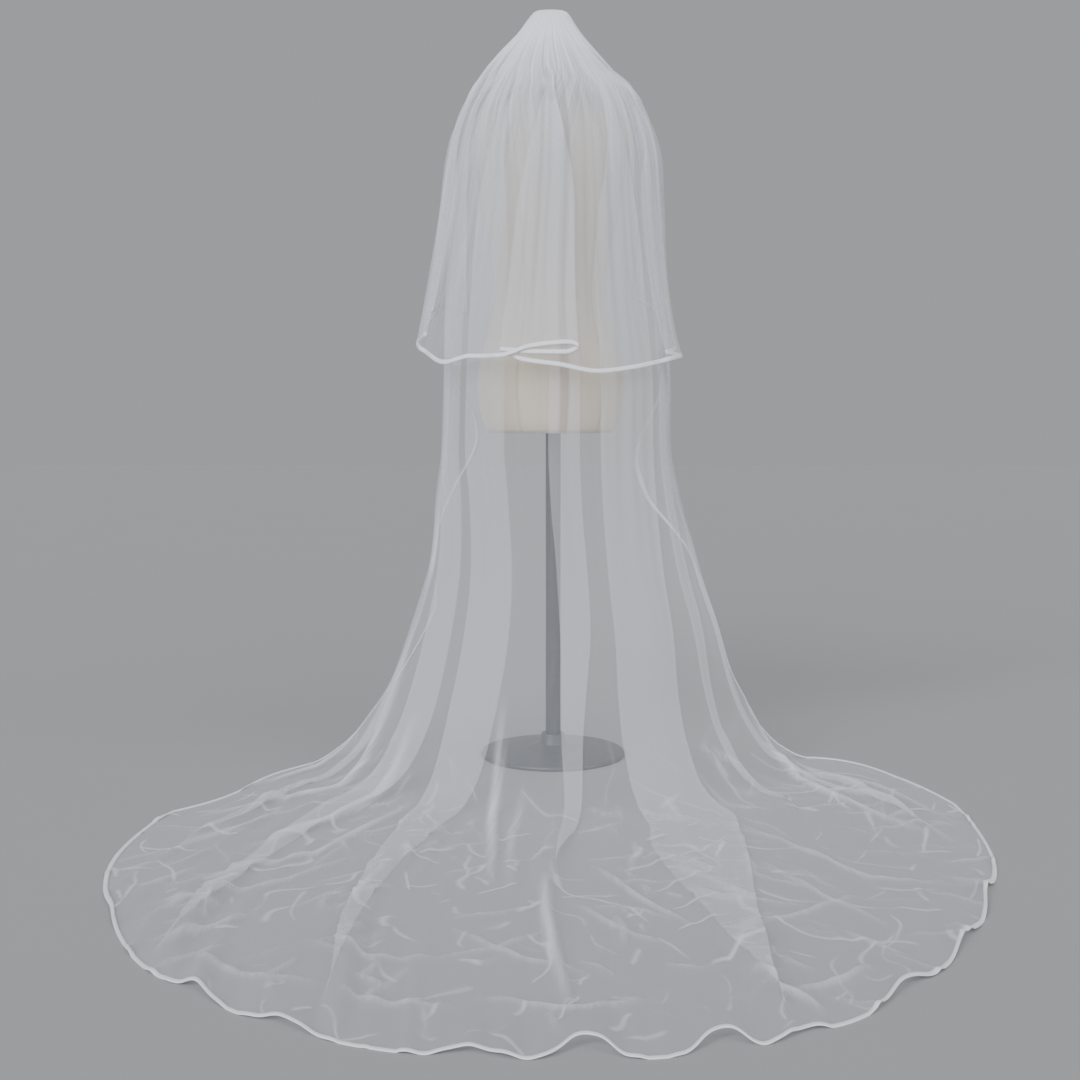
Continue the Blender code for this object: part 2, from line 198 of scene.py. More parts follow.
class Paint:
    """A material's node tree, to which nodes are added by one method."""

    def __init__(self, name: str) -> None:
        """Start an empty material of this name, with its output."""
        self.material = bpy.data.materials.new(name)
        self.material.use_nodes = True
        self.tree = self.material.node_tree
        self.tree.nodes.clear()
        self.output = self.tree.nodes.new("ShaderNodeOutputMaterial")

    def node(
        self,
        kind: str,
        settings: Optional[dict[str, Any]] = None,
        sockets: Optional[dict[Any, Any]] = None,
        result: Any = 0,
    ) -> Socket:
        """Add a node, make its settings first and then fill its inputs.

        Args:
            kind: the node's type.
            settings: its properties.
            sockets: its inputs by name or number, each a value or a Socket.
            result: name or number of the output that is wanted.

        Returns:
            That output.
        """
        item = self.tree.nodes.new(kind)
        for name, value in (settings or {}).items():
            setattr(item, name, value)
        for name, value in (sockets or {}).items():
            if isinstance(value, Socket):
                self.tree.links.new(value.link, item.inputs[name])
            else:
                item.inputs[name].default_value = value
        return Socket(self, item.outputs[result])

    def object_place(self) -> Socket:
        """Place on the object in metres."""
        return self.node("ShaderNodeTexCoord", result="Object")

    def cloth_place(self) -> Socket:
        """Place on the flat cloth in metres: across, then along."""
        return self.node("ShaderNodeUVMap", {"uv_map": "cloth"}, result="UV")

    def attribute(self, name: str) -> Socket:
        """A number that the mesh stores at each point."""
        return self.node("ShaderNodeAttribute", {"attribute_name": name}, result="Fac")

    def scaled(self, place: Socket, size: Row) -> Socket:
        """A place multiplied by three numbers."""
        return self.node("ShaderNodeVectorMath", {"operation": "MULTIPLY"}, {0: place, 1: size})

    def part_of(self, place: Socket, axis: str) -> Socket:
        """One of the three numbers of a place."""
        return self.node("ShaderNodeSeparateXYZ", sockets={0: place}, result=axis)

    def noise(
        self,
        place: Socket,
        scale: float,
        detail: float = 2.0,
        roughness: float = 0.5,
        result: str = "Fac",
    ) -> Socket:
        """Soft uneven pattern between 0 and 1, or three of them with result as Color."""
        sockets = {"Vector": place, "Scale": scale, "Detail": detail, "Roughness": roughness}
        return self.node("ShaderNodeTexNoise", {}, sockets, result)

    def mixed(self, share: Any, first: Any, second: Any) -> Socket:
        """Colour between two colours, whose inputs are the node's numbers 6 and 7 and its result 2."""
        low, high = ((*value, 1.0) if isinstance(value, tuple) else value for value in (first, second))
        return self.node("ShaderNodeMix", {"data_type": "RGBA"}, {0: share, 6: low, 7: high}, 2)

    def bump(self, height: Socket, distance: float, strength: float = 1.0) -> Socket:
        """Fine relief from a height between 0 and 1."""
        sockets = {"Height": height, "Distance": distance, "Strength": strength}
        return self.node("ShaderNodeBump", {}, sockets, "Normal")

    def finish(self, **sockets: Any) -> bpy.types.Material:
        """Close the material with one Principled shader.

        Args:
            sockets: its inputs, with an underscore for each space of their names.

        Returns:
            The finished material.
        """
        inputs = {name.replace("_", " "): value for name, value in sockets.items()}
        shader = self.node("ShaderNodeBsdfPrincipled", {}, inputs)
        self.tree.links.new(shader.link, self.output.inputs["Surface"])
        return self.material


@dataclass(frozen=True)
class TulleFinish:
    """Sheer nylon tulle: thin threads with open holes between them."""

    name: str = "tulle"
    colour: Row = (0.90, 0.915, 0.95)
    # shade is painted shade: the darker colour that the cloth takes between the streaks of its fine
    # gathers.
    shade: Row = (0.80, 0.83, 0.90)
    density: float = 0.122
    roughness: float = 0.62
    grazing: float = 0.60
    gathering: float = 1.35
    crease: float = 2.7
    fullness: float = 0.65
    net: float = 3400.0
    net_depth: float = 0.12
    streak_scale: Row = (120.0, 1.3, 1.0)
    streak_depth: Row = (0.2, 2.6)
    thinnest: float = 0.3
    flattest: float = 0.08
    most: float = 0.97
    hangs_to: Row = (0.30, 0.95)
    lies_from: Row = (1.50, 1.95)
    families: tuple[Row, ...] = ((62.0, 9.0, 0.0), (38.0, 44.0, 1.7), (-47.0, 36.0, 4.1))
    sharpness: float = 70.0
    carried: float = 17.0

    def build(self) -> bpy.types.Material:
        """Make the material.

        The share of light that one layer stops is 1 - (1 - density) ^ weight. The weight is
        crowding ^ gathering, which says how many times the cloth is gathered there, with
        streaks and creases, over a power of the cosine of the angle at which it is seen.
        hangs_to and lies_from are the cloth lengths over which it stops hanging free and
        comes to lie on the floor. streak_depth is for flat cloth, then for gathered cloth.

        Returns:
            The tulle.
        """
        paint = Paint(self.name)
        place = paint.cloth_place()
        across, along = (paint.part_of(place, axis) for axis in "XY")
        crowding = paint.attribute("crowding")
        streaks = paint.noise(paint.scaled(place, self.streak_scale), 1.0, 2.0, 0.65)
        train = along.eased(*self.lies_from)
        hanging = 1.0 - along.eased(*self.hangs_to)
        gathered = ((crowding - 1.0) * 1.4).clamped() * (1.0 - train * 0.8)
        streak = 1.0 + (streaks - 0.5) * (gathered * self.streak_depth[1] + self.streak_depth[0])
        net = 1.0 + (across * self.net).wave() * (along * self.net).wave() * self.net_depth
        facing = paint.node("ShaderNodeLayerWeight", {}, {}, "Facing")
        cosine = (1.0 - facing).at_least(self.flattest) ** self.grazing
        creases = self.fine_creases(paint, place) * train * self.crease
        cloth = crowding**self.gathering * streak * net * (1.0 + hanging * self.fullness)
        weight = (cloth + creases).at_least(self.thinnest) / cosine
        stopped = 1.0 - (1.0 - self.density) ** weight
        return paint.finish(
            # Painted fold shade: the colour goes from shade between the fine gathers to colour on their
            # streaks.
            Base_Color=paint.mixed(streaks, self.shade, self.colour),
            Roughness=self.roughness,
            Alpha=stopped.at_most(self.most),
            Specular_IOR_Level=0.2,
        )

    def fine_creases(self, paint: Paint, place: Socket) -> Socket:
        """Fine sharp creases of cloth that lies on the floor.

        Each family is a row of wavy lines side by side, narrow crests of a sine of so much
        times across plus so much times along plus a start, carried off by a soft noise. A
        slower sine breaks them into short stretches, and broad patches of the noise leave
        the rest of the cloth calm. The three parts of the noise take turns in these tasks.

        Args:
            paint: the material.
            place: the place on the flat cloth.

        Returns:
            The strength of the creases, 0 to 1.
        """
        noise = paint.noise(place, 3.4, result="Color")
        parts = [paint.part_of(noise, axis) for axis in "XYZ"]
        across, along = (paint.part_of(place, axis) for axis in "XY")
        total = 0.0
        for number, (over, down, start) in enumerate(self.families):
            carry, cut, patch = parts[number:] + parts[:number]
            phase = across * over + along * down + carry * self.carried + start
            crest = (phase.wave() * 0.5 + 0.5) ** self.sharpness
            slower = along * over * 0.35 - across * down * 0.8 + cut * 24.0
            total += crest * (slower.wave() * 1.6).clamped() * ((patch - 0.43) * 9.0).clamped()
        return total.clamped()


@dataclass(frozen=True)
class SatinFinish:
    """Satin: a bright smooth face with fine threads across it and a stitched inner edge."""

    name: str = "satin_ribbon"
    colour: Row = (0.93, 0.935, 0.95)
    shade: Row = (0.82, 0.835, 0.88)
    roughness: float = 0.36
    thread: float = 2600.0
    stitch: float = 380.0
    seam_starts: Row = (0.70, 0.78)
    seam_ends: Row = (0.84, 0.92)

    def build(self) -> bpy.types.Material:
        """Make the satin.

        Its relief is fine threads across the ribbon, and a row of stitches where the
        stored number "inner" is near 1.

        Returns:
            The satin.
        """
        paint = Paint(self.name)
        place = paint.cloth_place()
        length = paint.part_of(place, "Y")
        inner = paint.attribute("inner")
        threads = (length * self.thread).wave() * 0.5 + 0.5
        seam = inner.eased(*self.seam_starts) * (1.0 - inner.eased(*self.seam_ends))
        dashes = (length * self.stitch * 2.0).wave().eased(-0.2, 0.3)
        uneven = paint.noise(paint.scaled(place, (60.0, 60.0, 1.0)), 1.0, 3.0)
        height = threads * 0.25 + uneven * 0.3 + seam * dashes * 0.5
        colour = paint.mixed((uneven * 0.8 + seam * 0.5).clamped(), self.colour, self.shade)
        return paint.finish(
            Base_Color=colour,
            Roughness=self.roughness + uneven * 0.12,
            Normal=paint.bump(height, 0.0003, 0.6),
            Sheen_Weight=0.25,
            Anisotropic=0.35,
        )


@dataclass(frozen=True)
class CoverFinish:
    """Linen-like jersey over the form, with its seams and a brown tape down the back."""

    name: str = "form_cover"
    colour: Row = (0.66, 0.56, 0.43)
    light: Row = (0.74, 0.65, 0.52)
    tape: Row = (0.40, 0.24, 0.13)
    stitching: Row = (0.42, 0.33, 0.23)
    weave: float = 1500.0

    def build(self) -> bpy.types.Material:
        """Make the cover: two crossed sets of threads, patches of tone, and the seam marks."""
        paint = Paint(self.name)
        place = paint.object_place()
        height = paint.part_of(place, "Z")
        weft = (height * self.weave).wave() * 0.5 + 0.5
        warp = (paint.attribute("round") * self.weave).wave() * 0.5 + 0.5
        patches = paint.noise(place, 9.0, 4.0, 0.6)
        slubs = paint.noise(paint.scaled(place, (40.0, 40.0, 260.0)), 1.0, 3.0)
        seam = paint.attribute("seam")
        tape = paint.attribute("tape")
        weave = weft * 0.5 + warp * 0.5
        tone = (patches * 0.6 + slubs * 0.3 + weave * 0.15 - 0.05).clamped()
        colour = paint.mixed(tone, self.colour, self.light)
        colour = paint.mixed(tape * 0.85, colour, self.tape)
        colour = paint.mixed(seam * 0.45, colour, self.stitching)
        relief = weave * 0.5 + slubs * 0.5
        return paint.finish(
            Base_Color=colour,
            Roughness=0.86 + slubs * 0.08,
            Normal=paint.bump(relief, 0.0004, 0.5),
            Sheen_Weight=0.3,
        )


@dataclass(frozen=True)
class HardFinish:
    """Plastic, steel or paint: one tone with wear, fine marks and a sheen of its own."""

    name: str
    colour: Row
    worn: Row
    roughness: float
    metallic: float = 0.0
    grain: Row = (30.0, 30.0, 30.0)
    coat: float = 0.0

    def build(self) -> bpy.types.Material:
        """Make the finish: fine marks stretched by grain, and soft patches of wear."""
        paint = Paint(self.name)
        place = paint.object_place()
        marks = paint.noise(paint.scaled(place, self.grain), 1.0, 5.0, 0.65)
        wear = paint.noise(place, 14.0, 4.0, 0.6).eased(0.52, 0.78)
        return paint.finish(
            Base_Color=paint.mixed((wear * 0.7 + marks * 0.3).clamped(), self.colour, self.worn),
            Roughness=(self.roughness + (marks - 0.5) * 0.22 + wear * 0.08).clamped(),
            Metallic=self.metallic,
            Normal=paint.bump(marks, 0.00025, 0.35),
            Coat_Weight=self.coat,
            Coat_Roughness=0.25,
        )


@dataclass(frozen=True)
class FloorFinish:
    """Plain pale studio floor."""

    name: str = "studio_floor"
    colour: Row = (0.365, 0.370, 0.380)

    def build(self) -> bpy.types.Material:
        """Make the floor, with only a breath of unevenness."""
        paint = Paint(self.name)
        soft = paint.noise(paint.object_place(), 2.0, 3.0)
        shade = tuple(0.97 * part for part in self.colour)
        return paint.finish(Base_Color=paint.mixed(soft, self.colour, shade), Roughness=0.85)


def ease(start: Any, end: Any, value: Any) -> Any:
    """Soft step from 0 at start to 1 at end."""
    share = np.clip((value - start) / (end - start), 0.0, 1.0)
    return share * share * (3 - 2 * share)


def smooth_curve(places: Array, values: Array, wanted: Array) -> Array:
    """Smooth curve through a table that never overshoots it.

    Each slope inside the table is the weighted harmonic mean of the rises on its two
    sides, or nothing where they differ in sign, and cubic pieces join the points.

    Args:
        places: the table's places, rising.
        values: its values there.
        wanted: the places that are asked for.

    Returns:
        The values at those places.
    """
    steps = np.diff(places)
    rises = np.diff(values) / steps
    slopes = np.zeros(len(places))
    same_way = rises[:-1] * rises[1:] > 0
    before = 2 * steps[1:] + steps[:-1]
    after = steps[1:] + 2 * steps[:-1]
    spread = before / np.where(same_way, rises[:-1], 1.0) + after / np.where(same_way, rises[1:], 1.0)
    slopes[1:-1] = np.where(same_way, (before + after) / spread, 0.0)
    slopes[0] = rises[0]
    slopes[-1] = rises[-1]
    wanted = np.clip(wanted, places[0], places[-1])
    cell = np.clip(np.searchsorted(places, wanted, side="right") - 1, 0, len(steps) - 1)
    share = (wanted - places[cell]) / steps[cell]
    low = (1 + 2 * share) * (1 - share) ** 2 * values[cell]
    low = low + share * (1 - share) ** 2 * steps[cell] * slopes[cell]
    high = share**2 * (3 - 2 * share) * values[cell + 1]
    return low + high + share**2 * (share - 1) * steps[cell] * slopes[cell + 1]


def curve_of(table: Sequence[Row], column: int, wanted: Array) -> Array:
    """Smooth curve through one column of a table, over its first column."""
    rows = np.array(table, float)
    return smooth_curve(rows[:, 0], rows[:, column], wanted)


def signed_power(value: Array, power: float) -> Array:
    """Power of the size of a value, with the value's own sign."""
    return np.sign(value) * np.abs(value) ** power


def running_sum(values: Array, step: float) -> Array:
    """Area under evenly spaced values up to each of them."""
    return np.concatenate([[0.0], np.cumsum((values[1:] + values[:-1]) / 2) * step])


def degrees_off(angle: Array, middle: float) -> Array:
    """Degrees between angles in radians and a middle in degrees, the shorter way round."""
    return np.degrees(np.abs((angle - math.radians(middle) + math.pi) % (2 * math.pi) - math.pi))


def placed(name: str, data: Any) -> bpy.types.Object:
    """Put an object into the scene.

    Args:
        name: its name.
        data: its mesh, light or camera.

    Returns:
        The object.
    """
    item = bpy.data.objects.new(name, data)
    bpy.context.scene.collection.objects.link(item)
    return item


def stand_for(node: str) -> None:
    """Hide the solid that an object replaces."""
    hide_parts(node)


def grid_outward(grid: Array) -> Array:
    """Outward direction at each point of a grid.

    It is the cross product of the step down and the step to the right through the point.

    Args:
        grid: the points, row by row.

    Returns:
        A direction of length 1 for each.
    """
    down = np.gradient(grid, axis=0)
    over = np.gradient(grid, axis=1)
    outward = np.cross(down, over)
    return outward / np.maximum(np.linalg.norm(outward, axis=-1, keepdims=True), 1e-12)


def make_mesh(
    name: str,
    points: Array,
    faces: Array,
    finish: bpy.types.Material,
    cloth: Optional[Array] = None,
    numbers: Optional[dict[str, Array]] = None,
) -> bpy.types.Object:
    """Make a smooth mesh object from arrays.

    Args:
        name: the object's name.
        points: its points, one per line.
        faces: its faces, four corners each; a triangle repeats its last corner.
        finish: its material.
        cloth: the flat cloth's place of each point.
        numbers: further numbers that each point stores, by name.

    Returns:
        The object, linked to the scene and riding on the root body.
    """
    mesh = bpy.data.meshes.new(name)
    triangle = faces[:, 2] == faces[:, 3]
    counts = np.where(triangle, 3, 4)
    keep = np.ones(faces.shape, bool)
    keep[:, 3] = ~triangle
    loops = faces[keep]
    mesh.vertices.add(len(points))
    mesh.vertices.foreach_set("co", np.ascontiguousarray(points, dtype=np.float32).ravel())
    mesh.loops.add(len(loops))
    mesh.loops.foreach_set("vertex_index", loops.astype(np.int32))
    mesh.polygons.add(len(faces))
    starts = np.cumsum(counts) - counts
    mesh.polygons.foreach_set("loop_start", starts.astype(np.int32))
    mesh.polygons.foreach_set("use_smooth", np.ones(len(faces), bool))
    mesh.update(calc_edges=True)
    if cloth is not None:
        layer = mesh.uv_layers.new(name="cloth")
        layer.data.foreach_set("uv", np.ascontiguousarray(cloth[loops], dtype=np.float32).ravel())
    for key, values in (numbers or {}).items():
        stored = mesh.attributes.new(key, "FLOAT", "POINT")
        stored.data.foreach_set("value", np.ascontiguousarray(values, dtype=np.float32).ravel())
    mesh.validate()
    mesh.materials.append(finish)
    item = placed(name, mesh)
    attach(item, "root")
    LOG.info("%s: %d points, %d faces", name, len(points), len(faces))
    return item


def grid_faces(rows: int, lines: int, closed: bool = False) -> Array:
    """Four corners of every cell of a grid, facing the way that grid_outward gives.

    Args:
        rows: how many rows of points.
        lines: how many points a row has.
        closed: whether each row closes on itself.

    Returns:
        The numbers of the corners, a cell per line.
    """
    row = np.arange(rows - 1)[:, None]
    line = np.arange(lines if closed else lines - 1)[None, :]
    after = (line + 1) % lines
    here, below = row * lines, (row + 1) * lines
    return np.stack([here + line, below + line, below + after, here + after], -1).reshape(-1, 4)


def outward_faces(points: Array, faces: Array) -> Array:
    """Turn the faces of a closed body round if its signed volume is below zero.

    Args:
        points: the points of the body.
        faces: its faces, four corners each; a triangle repeats its last corner.

    Returns:
        Faces that face out.
    """
    corners = points[faces]
    first = np.cross(corners[:, 1] - corners[:, 0], corners[:, 2] - corners[:, 0])
    second = np.cross(corners[:, 2] - corners[:, 0], corners[:, 3] - corners[:, 0])
    if float(np.sum(corners[:, 0] * (first + second))) >= 0:
        return faces
    turned = faces[:, ::-1].copy()
    triangle = faces[:, 2] == faces[:, 3]
    turned[triangle] = faces[triangle][:, [1, 0, 2, 2]]
    return turned


def closed_body(grid: Array, ends: Array) -> tuple[Array, Array]:
    """Closed body over a grid whose rows close on themselves, with a fan round each end point.

    Args:
        grid: the rows, from one end to the other.
        ends: the two end points.

    Returns:
        The points, with the ends last, and the faces, which face out.
    """
    rows, sides = grid.shape[:2]
    count = rows * sides
    ring = np.arange(sides)
    after = (ring + 1) % sides
    first = np.stack([ring, after, np.full(sides, count), np.full(sides, count)], -1)
    last = np.stack([after, ring, np.full(sides, count + 1), np.full(sides, count + 1)], -1)
    last[:, :2] += count - sides
    points = np.concatenate([grid.reshape(-1, 3), ends])
    faces = np.concatenate([grid_faces(rows, sides, closed=True), first, last])
    return points, outward_faces(points, faces)


def shell_between(near: Array, far: Array, cells: Array) -> tuple[Array, Array, Array]:
    """Closed shell between two grids over some of their cells.

    The near grid's cells face in and the far grid's out, and a wall closes every side of a
    cell that has no kept cell beside it.

    Args:
        near: the inner grid.
        far: the outer grid.
        cells: which cells are kept.

    Returns:
        The shell's points, its faces, and the grid number that each point comes from.
    """
    rows, lines = near.shape[:2]
    count = rows * lines
    faces = grid_faces(rows, lines).reshape(rows - 1, lines - 1, 4)
    padded = np.pad(cells, 1)
    parts = [faces[cells][:, ::-1], faces[cells] + count]
    beside = (padded[1:-1, :-2], padded[2:, 1:-1], padded[1:-1, 2:], padded[:-2, 1:-1])
    for number, neighbour in enumerate(beside):
        open_side = cells & ~neighbour
        start = faces[open_side][:, number]
        end = faces[open_side][:, (number + 1) % 4]
        parts.append(np.stack([start, end, end + count, start + count], -1))
    joined = np.concatenate(parts)
    used, numbered = np.unique(joined, return_inverse=True)
    points = np.concatenate([near.reshape(-1, 3), far.reshape(-1, 3)])[used]
    return points, numbered.reshape(joined.shape), used % count


@dataclass(frozen=True)
class Pleat:
    """A fold of three layers.

    middle is its middle on the panel and width that of each layer; side is where its open
    fold lies (+1 right); the four rows are those at which it begins to turn over, is full,
    begins to narrow and last shows.
    """

    middle: float
    width: float
    side: int
    first: float
    full: float
    narrow: float
    last: float

    def state(self, row: Array) -> tuple[Array, Array]:
        """How far the pleat has opened.

        Args:
            row: the number of the row.

        Returns:
            Width of the layers, and how far the cloth is turned over, pi where doubled back.
        """
        grown = ease(self.first, self.full, row) * (1 - ease(self.narrow, self.last, row))
        turned = np.clip((row - self.first + 1) / 3, 0, 1) * np.clip((self.last + 1 - row) / 3, 0, 1)
        return SMALLEST_PLEAT + (self.width - SMALLEST_PLEAT) * grown, math.pi * turned


@dataclass(frozen=True)
class Crease:
    """A soft ridge of the train, along a line of floor places, with its height and half width."""

    line: tuple[tuple[float, float], ...]
    height: float
    half_width: float

    def raise_near(self, place: Array, raised: Array, lined: Array) -> None:
        """Raise floor places to the ridge and draw its line.

        The ridge is height * exp(-(distance / half width)^2), with the distance to the
        nearest point of the line, and tapers along the line as the square root of
        sin(pi * share). The line is its share of the height, squared, and stronger on a
        higher ridge. Where creases meet, the higher one shows.

        Args:
            place: the floor places.
            raised: their heights, which are raised.
            lined: the strength of the lines there, which is raised too.
        """
        line = np.array(self.line, float)
        reach = 3 * self.half_width
        low, high = line.min(axis=0) - reach, line.max(axis=0) + reach
        near = np.all((place > low) & (place < high), axis=-1)
        lift = self.lift(place[near])
        strength = min(self.height / FULL_CREASE, 1.0) ** LINE_POWER
        raised[near] = np.maximum(raised[near], lift)
        lined[near] = np.maximum(lined[near], strength * (lift / self.height) ** 2)

    def lift(self, place: Array) -> Array:
        """Height of the ridge.

        Args:
            place: floor places that lie near it.

        Returns:
            The height at each.
        """
        nearest = np.full(place.shape[:-1], 1e9)
        share = np.zeros(place.shape[:-1])
        line = np.array(self.line, float)
        for number in range(len(line) - 1):
            start, step = line[number], line[number + 1] - line[number]
            part = np.clip(np.sum((place - start) * step, axis=-1) / np.sum(step * step), 0, 1)
            gap = np.linalg.norm(place - start - part[..., None] * step, axis=-1)
            closer = gap < nearest
            nearest = np.where(closer, gap, nearest)
            share = np.where(closer, (number + part) / (len(line) - 1), share)
        taper = np.sqrt(np.clip(np.sin(np.pi * share), 0, 1))
        return self.height * taper * np.exp(-((nearest / self.half_width) ** 2))


@dataclass
class GatherWaves:
    """Many small folds that run down from the comb, as a sum of sines round the veil.

    seed starts the draws; count sines have frequencies between lowest and highest; height
    is their size; rises and fades are the cloth lengths over which they grow and end; most
    is the height that they stay under.
    """

    seed: int
    lowest: float
    highest: float
    count: int
    height: float
    rises: Row
    fades: Row
    most: float = 0.006

    def lift(self, turn: Array, along: Array) -> Array:
        """Height of the folds.

        The sum of height_k * sin(frequency_k * turn + phase_k + drift_k * along), held under
        most by a hyperbolic tangent, grown from nothing over the first length of cloth and
        faded over the second.

        Args:
            turn: share of the way round, -1 to 1.
            along: cloth length from the comb.

        Returns:
            The height at each point.
        """
        draw = np.random.default_rng(self.seed)
        total = np.zeros(np.broadcast(turn, along).shape)
        for frequency in np.linspace(self.lowest, self.highest, self.count):
            phase = draw.uniform(0, 2 * math.pi)
            drift = draw.normal(0, 1.1)
            share = draw.uniform(0.3, 1.0)
            frequency = frequency * draw.uniform(0.93, 1.07)
            swell = 1 + 0.6 * np.sin(along * draw.uniform(2.0, 5.0) + draw.uniform(0, 6.28))
            total += share * swell * np.sin(frequency * math.pi * turn + phase + drift * along)
        total *= self.height / math.sqrt(self.count)
        total = self.most * np.tanh(total / self.most)
        return total * ease(*self.rises, along) * (1 - ease(*self.fades, along))


@dataclass
class Tier:
    """One panel of tulle with its satin ribbon, gathered at the comb.

    width, length, side and square give the cut: its width, its length down the middle, the
    length of its side edges and how square its rounded end is. rings holds cloth length,
    height, half width, depth, shift to the back, shift to the right and the angles to the
    left and the right edge. solid_rows are the rows that the pleats are numbered by, lines
    is how many points a row has, and shares are the rows as shares of the side edge. offset
    holds cloth lengths and how far the sheet lies off the rings there. lay fills in the grid
    of points, their places on the cloth, and how strong a crease is at each.
    """

    name: str
    width: float
    length: float
    side: float
    square: float
    rings: tuple[Row, ...]
    solid_rows: Row
    pleats: tuple[Pleat, ...]
    lines: int
    shares: Array
    waves: tuple[GatherWaves, ...]
    creases: tuple[Crease, ...] = ()
    hem_waves: tuple[Row, ...] = ()
    hem_line: tuple[Row, ...] = ((0.0, 0.0), (1.0, 0.0))
    offset: tuple[Row, Row] = ((0.0, 1.0), (0.0, 0.0))
    swings: tuple[Row, ...] = ((0.0, 0.0, 0.0), (1.0, 0.0, 0.0))
    grid: Array = field(init=False, repr=False)
    across: Array = field(init=False, repr=False)
    along: Array = field(init=False, repr=False)
    creased: Array = field(init=False, repr=False)

    def panel_end(self, across: Array) -> Array:
        """Cloth length of the outline: side + (length - side) * (1 - |2 across / width| ^ square)."""
        share = np.abs(across) / (self.width / 2)
        return self.side + (self.length - self.side) * (1 - share**self.square)

    def ribbon_line(self, across: Array) -> Array:
        """Cloth length at the inner side of the hem ribbon.

        Args:
            across: place across the cloth.

        Returns:
            The length of the outline less the ribbon's width, measured square to the outline.
        """
        share = np.abs(across) / (self.width / 2)
        slope = (self.length - self.side) * self.square * share ** (self.square - 1) / (self.width / 2)
        return self.panel_end(across) - RIBBON_WIDTH * np.sqrt(1 + slope**2)

    def ring_point(self, turn: Array, along: Array) -> Array:
        """Point of the ring surface.

        An ellipse at each cloth length: side shift + half width * sin(angle) over, back
        shift + depth * cos(angle) to the back, with the angle as the share of the turn. Near
        the side edges the angle swings forward and back as the edge does.

        Args:
            turn: share of the way round, -1 at the left edge to 1 at the right.
            along: cloth length from the comb.

        Returns:
            The points.
        """
        height, half_width, depth, back, shift, left, right = (
            curve_of(self.rings, column, along) for column in range(1, 8)
        )
        to_left, to_right = (curve_of(self.swings, column, along) for column in (1, 2))
        near_edge = ease(EDGE_START, 1.0, np.abs(turn)) * np.sign(turn)
        opening = np.where(turn < 0, left, right)
        swing = np.where(turn < 0, to_left, to_right)
        angle = np.radians(opening * turn + swing * near_edge)
        over = shift + half_width * np.sin(angle)
        return np.stack([over, -(back + depth * np.cos(angle)), height], axis=-1)

    def ring_outward(self, turn: Array, along: Array) -> Array:
        """Direction straight out of the ring surface.

        Args:
            turn: share of the way round.
            along: cloth length from the comb.

        Returns:
            A direction of length 1 for each point.
        """
        round_way = self.ring_point(turn + RING_STEP, along) - self.ring_point(turn - RING_STEP, along)
        down_way = self.ring_point(turn, along + RING_STEP) - self.ring_point(turn, along - RING_STEP)
        outward = np.cross(down_way, round_way)
        return outward / np.linalg.norm(outward, axis=-1, keepdims=True)

    def fold_row(self, row: float) -> tuple[Array, Array, Array]:
        """Fold one cross row flat.

        The heading of the cloth turns from 0 to pi and back at each pleat, its run is the
        sum of cosines of the heading and its lift the sum of sines, and a slow rise before
        the outer layer brings the cloth back to the ring.

        Args:
            row: number of the cross row, in the numbering of the pleats.

        Returns:
            Places across the cloth, the run there (-1 to 1) and the height over the ring.
        """
        edge = self.width / 2
        fine = np.linspace(-edge, edge, FOLD_PLACES)
        step = fine[1] - fine[0]
        heading = np.zeros_like(fine)
        lift_rate = np.zeros_like(fine)
        rises = np.zeros_like(fine)
        crowd = np.ones_like(fine)
        for pleat in self.pleats:
            width, turned = pleat.state(np.float64(row))
            inside = (width / 2 + TURN_LENGTH / 2 - np.abs(fine - pleat.middle)) / TURN_LENGTH
            own = turned * np.clip(inside, 0, 1)
            heading += own
            lift_rate -= pleat.side * np.sin(own)
            drop = float(np.sum(np.sin(own)) * step)
            outer = pleat.middle - pleat.side * 1.5 * width
            if pleat.side > 0:
                rises += drop * ease(outer - RISE_LENGTH, outer, fine)
            else:
                rises -= drop * ease(outer, outer + RISE_LENGTH, fine)
            for turn in (-0.5, 0.5):
                from_turn = np.abs(fine - pleat.middle - turn * width)
                crowd += TURN_CROWDING * turned / math.pi * (1 - ease(0.0, TURN_LENGTH, from_turn))
        run = running_sum(np.cos(heading), step)
        lift = running_sum(lift_rate, step) + rises
        run -= np.interp(0.0, fine, run)
        run = np.where(run < 0, run / -run[0], run / run[-1])
        inner = edge - RIBBON_WIDTH
        weight = np.concatenate([[0.0], np.cumsum(np.where(np.abs(fine) < inner, crowd, 0.0))])[:-1]
        strip = RIBBON_WIDTH * np.arange(RIBBON_CELLS) / RIBBON_CELLS
        wanted = np.linspace(0, weight[-1], self.lines - 2 * RIBBON_CELLS)
        middle = np.interp(wanted, weight, fine)
        middle[0], middle[-1] = -inner, inner
        places = np.concatenate([-edge + strip, middle, (edge - strip)[::-1]])
        return places, np.clip(np.interp(places, fine, run), -1, 1), np.interp(places, fine, lift)

    def hem_lift(self, across: Array, to_end: Array) -> tuple[Array, Array]:
        """Waves of the hem.

        Each is a bell exp(-((across - middle) / half width)^2) that draws the hem in and
        lifts it. The hem line adds how far the rest is drawn in, and all fades up the cloth.

        Args:
            across: place across the cloth.
            to_end: cloth length from the hem.

        Returns:
            How far the cloth is drawn in, and how far it is lifted.
        """
        near_hem = np.exp(-to_end / HEM_DRAWN_REACH)
        drawn = curve_of(self.hem_line, 1, across) * near_hem
        lifted = np.zeros_like(across)
        for middle, half_width, depth, height in self.hem_waves:
            bell = np.exp(-(((across - middle) / half_width) ** 2))
            drawn += depth * bell * near_hem
            lifted += height * bell * np.exp(-((to_end / HEM_LIFTED_REACH) ** 2))
        return drawn, lifted

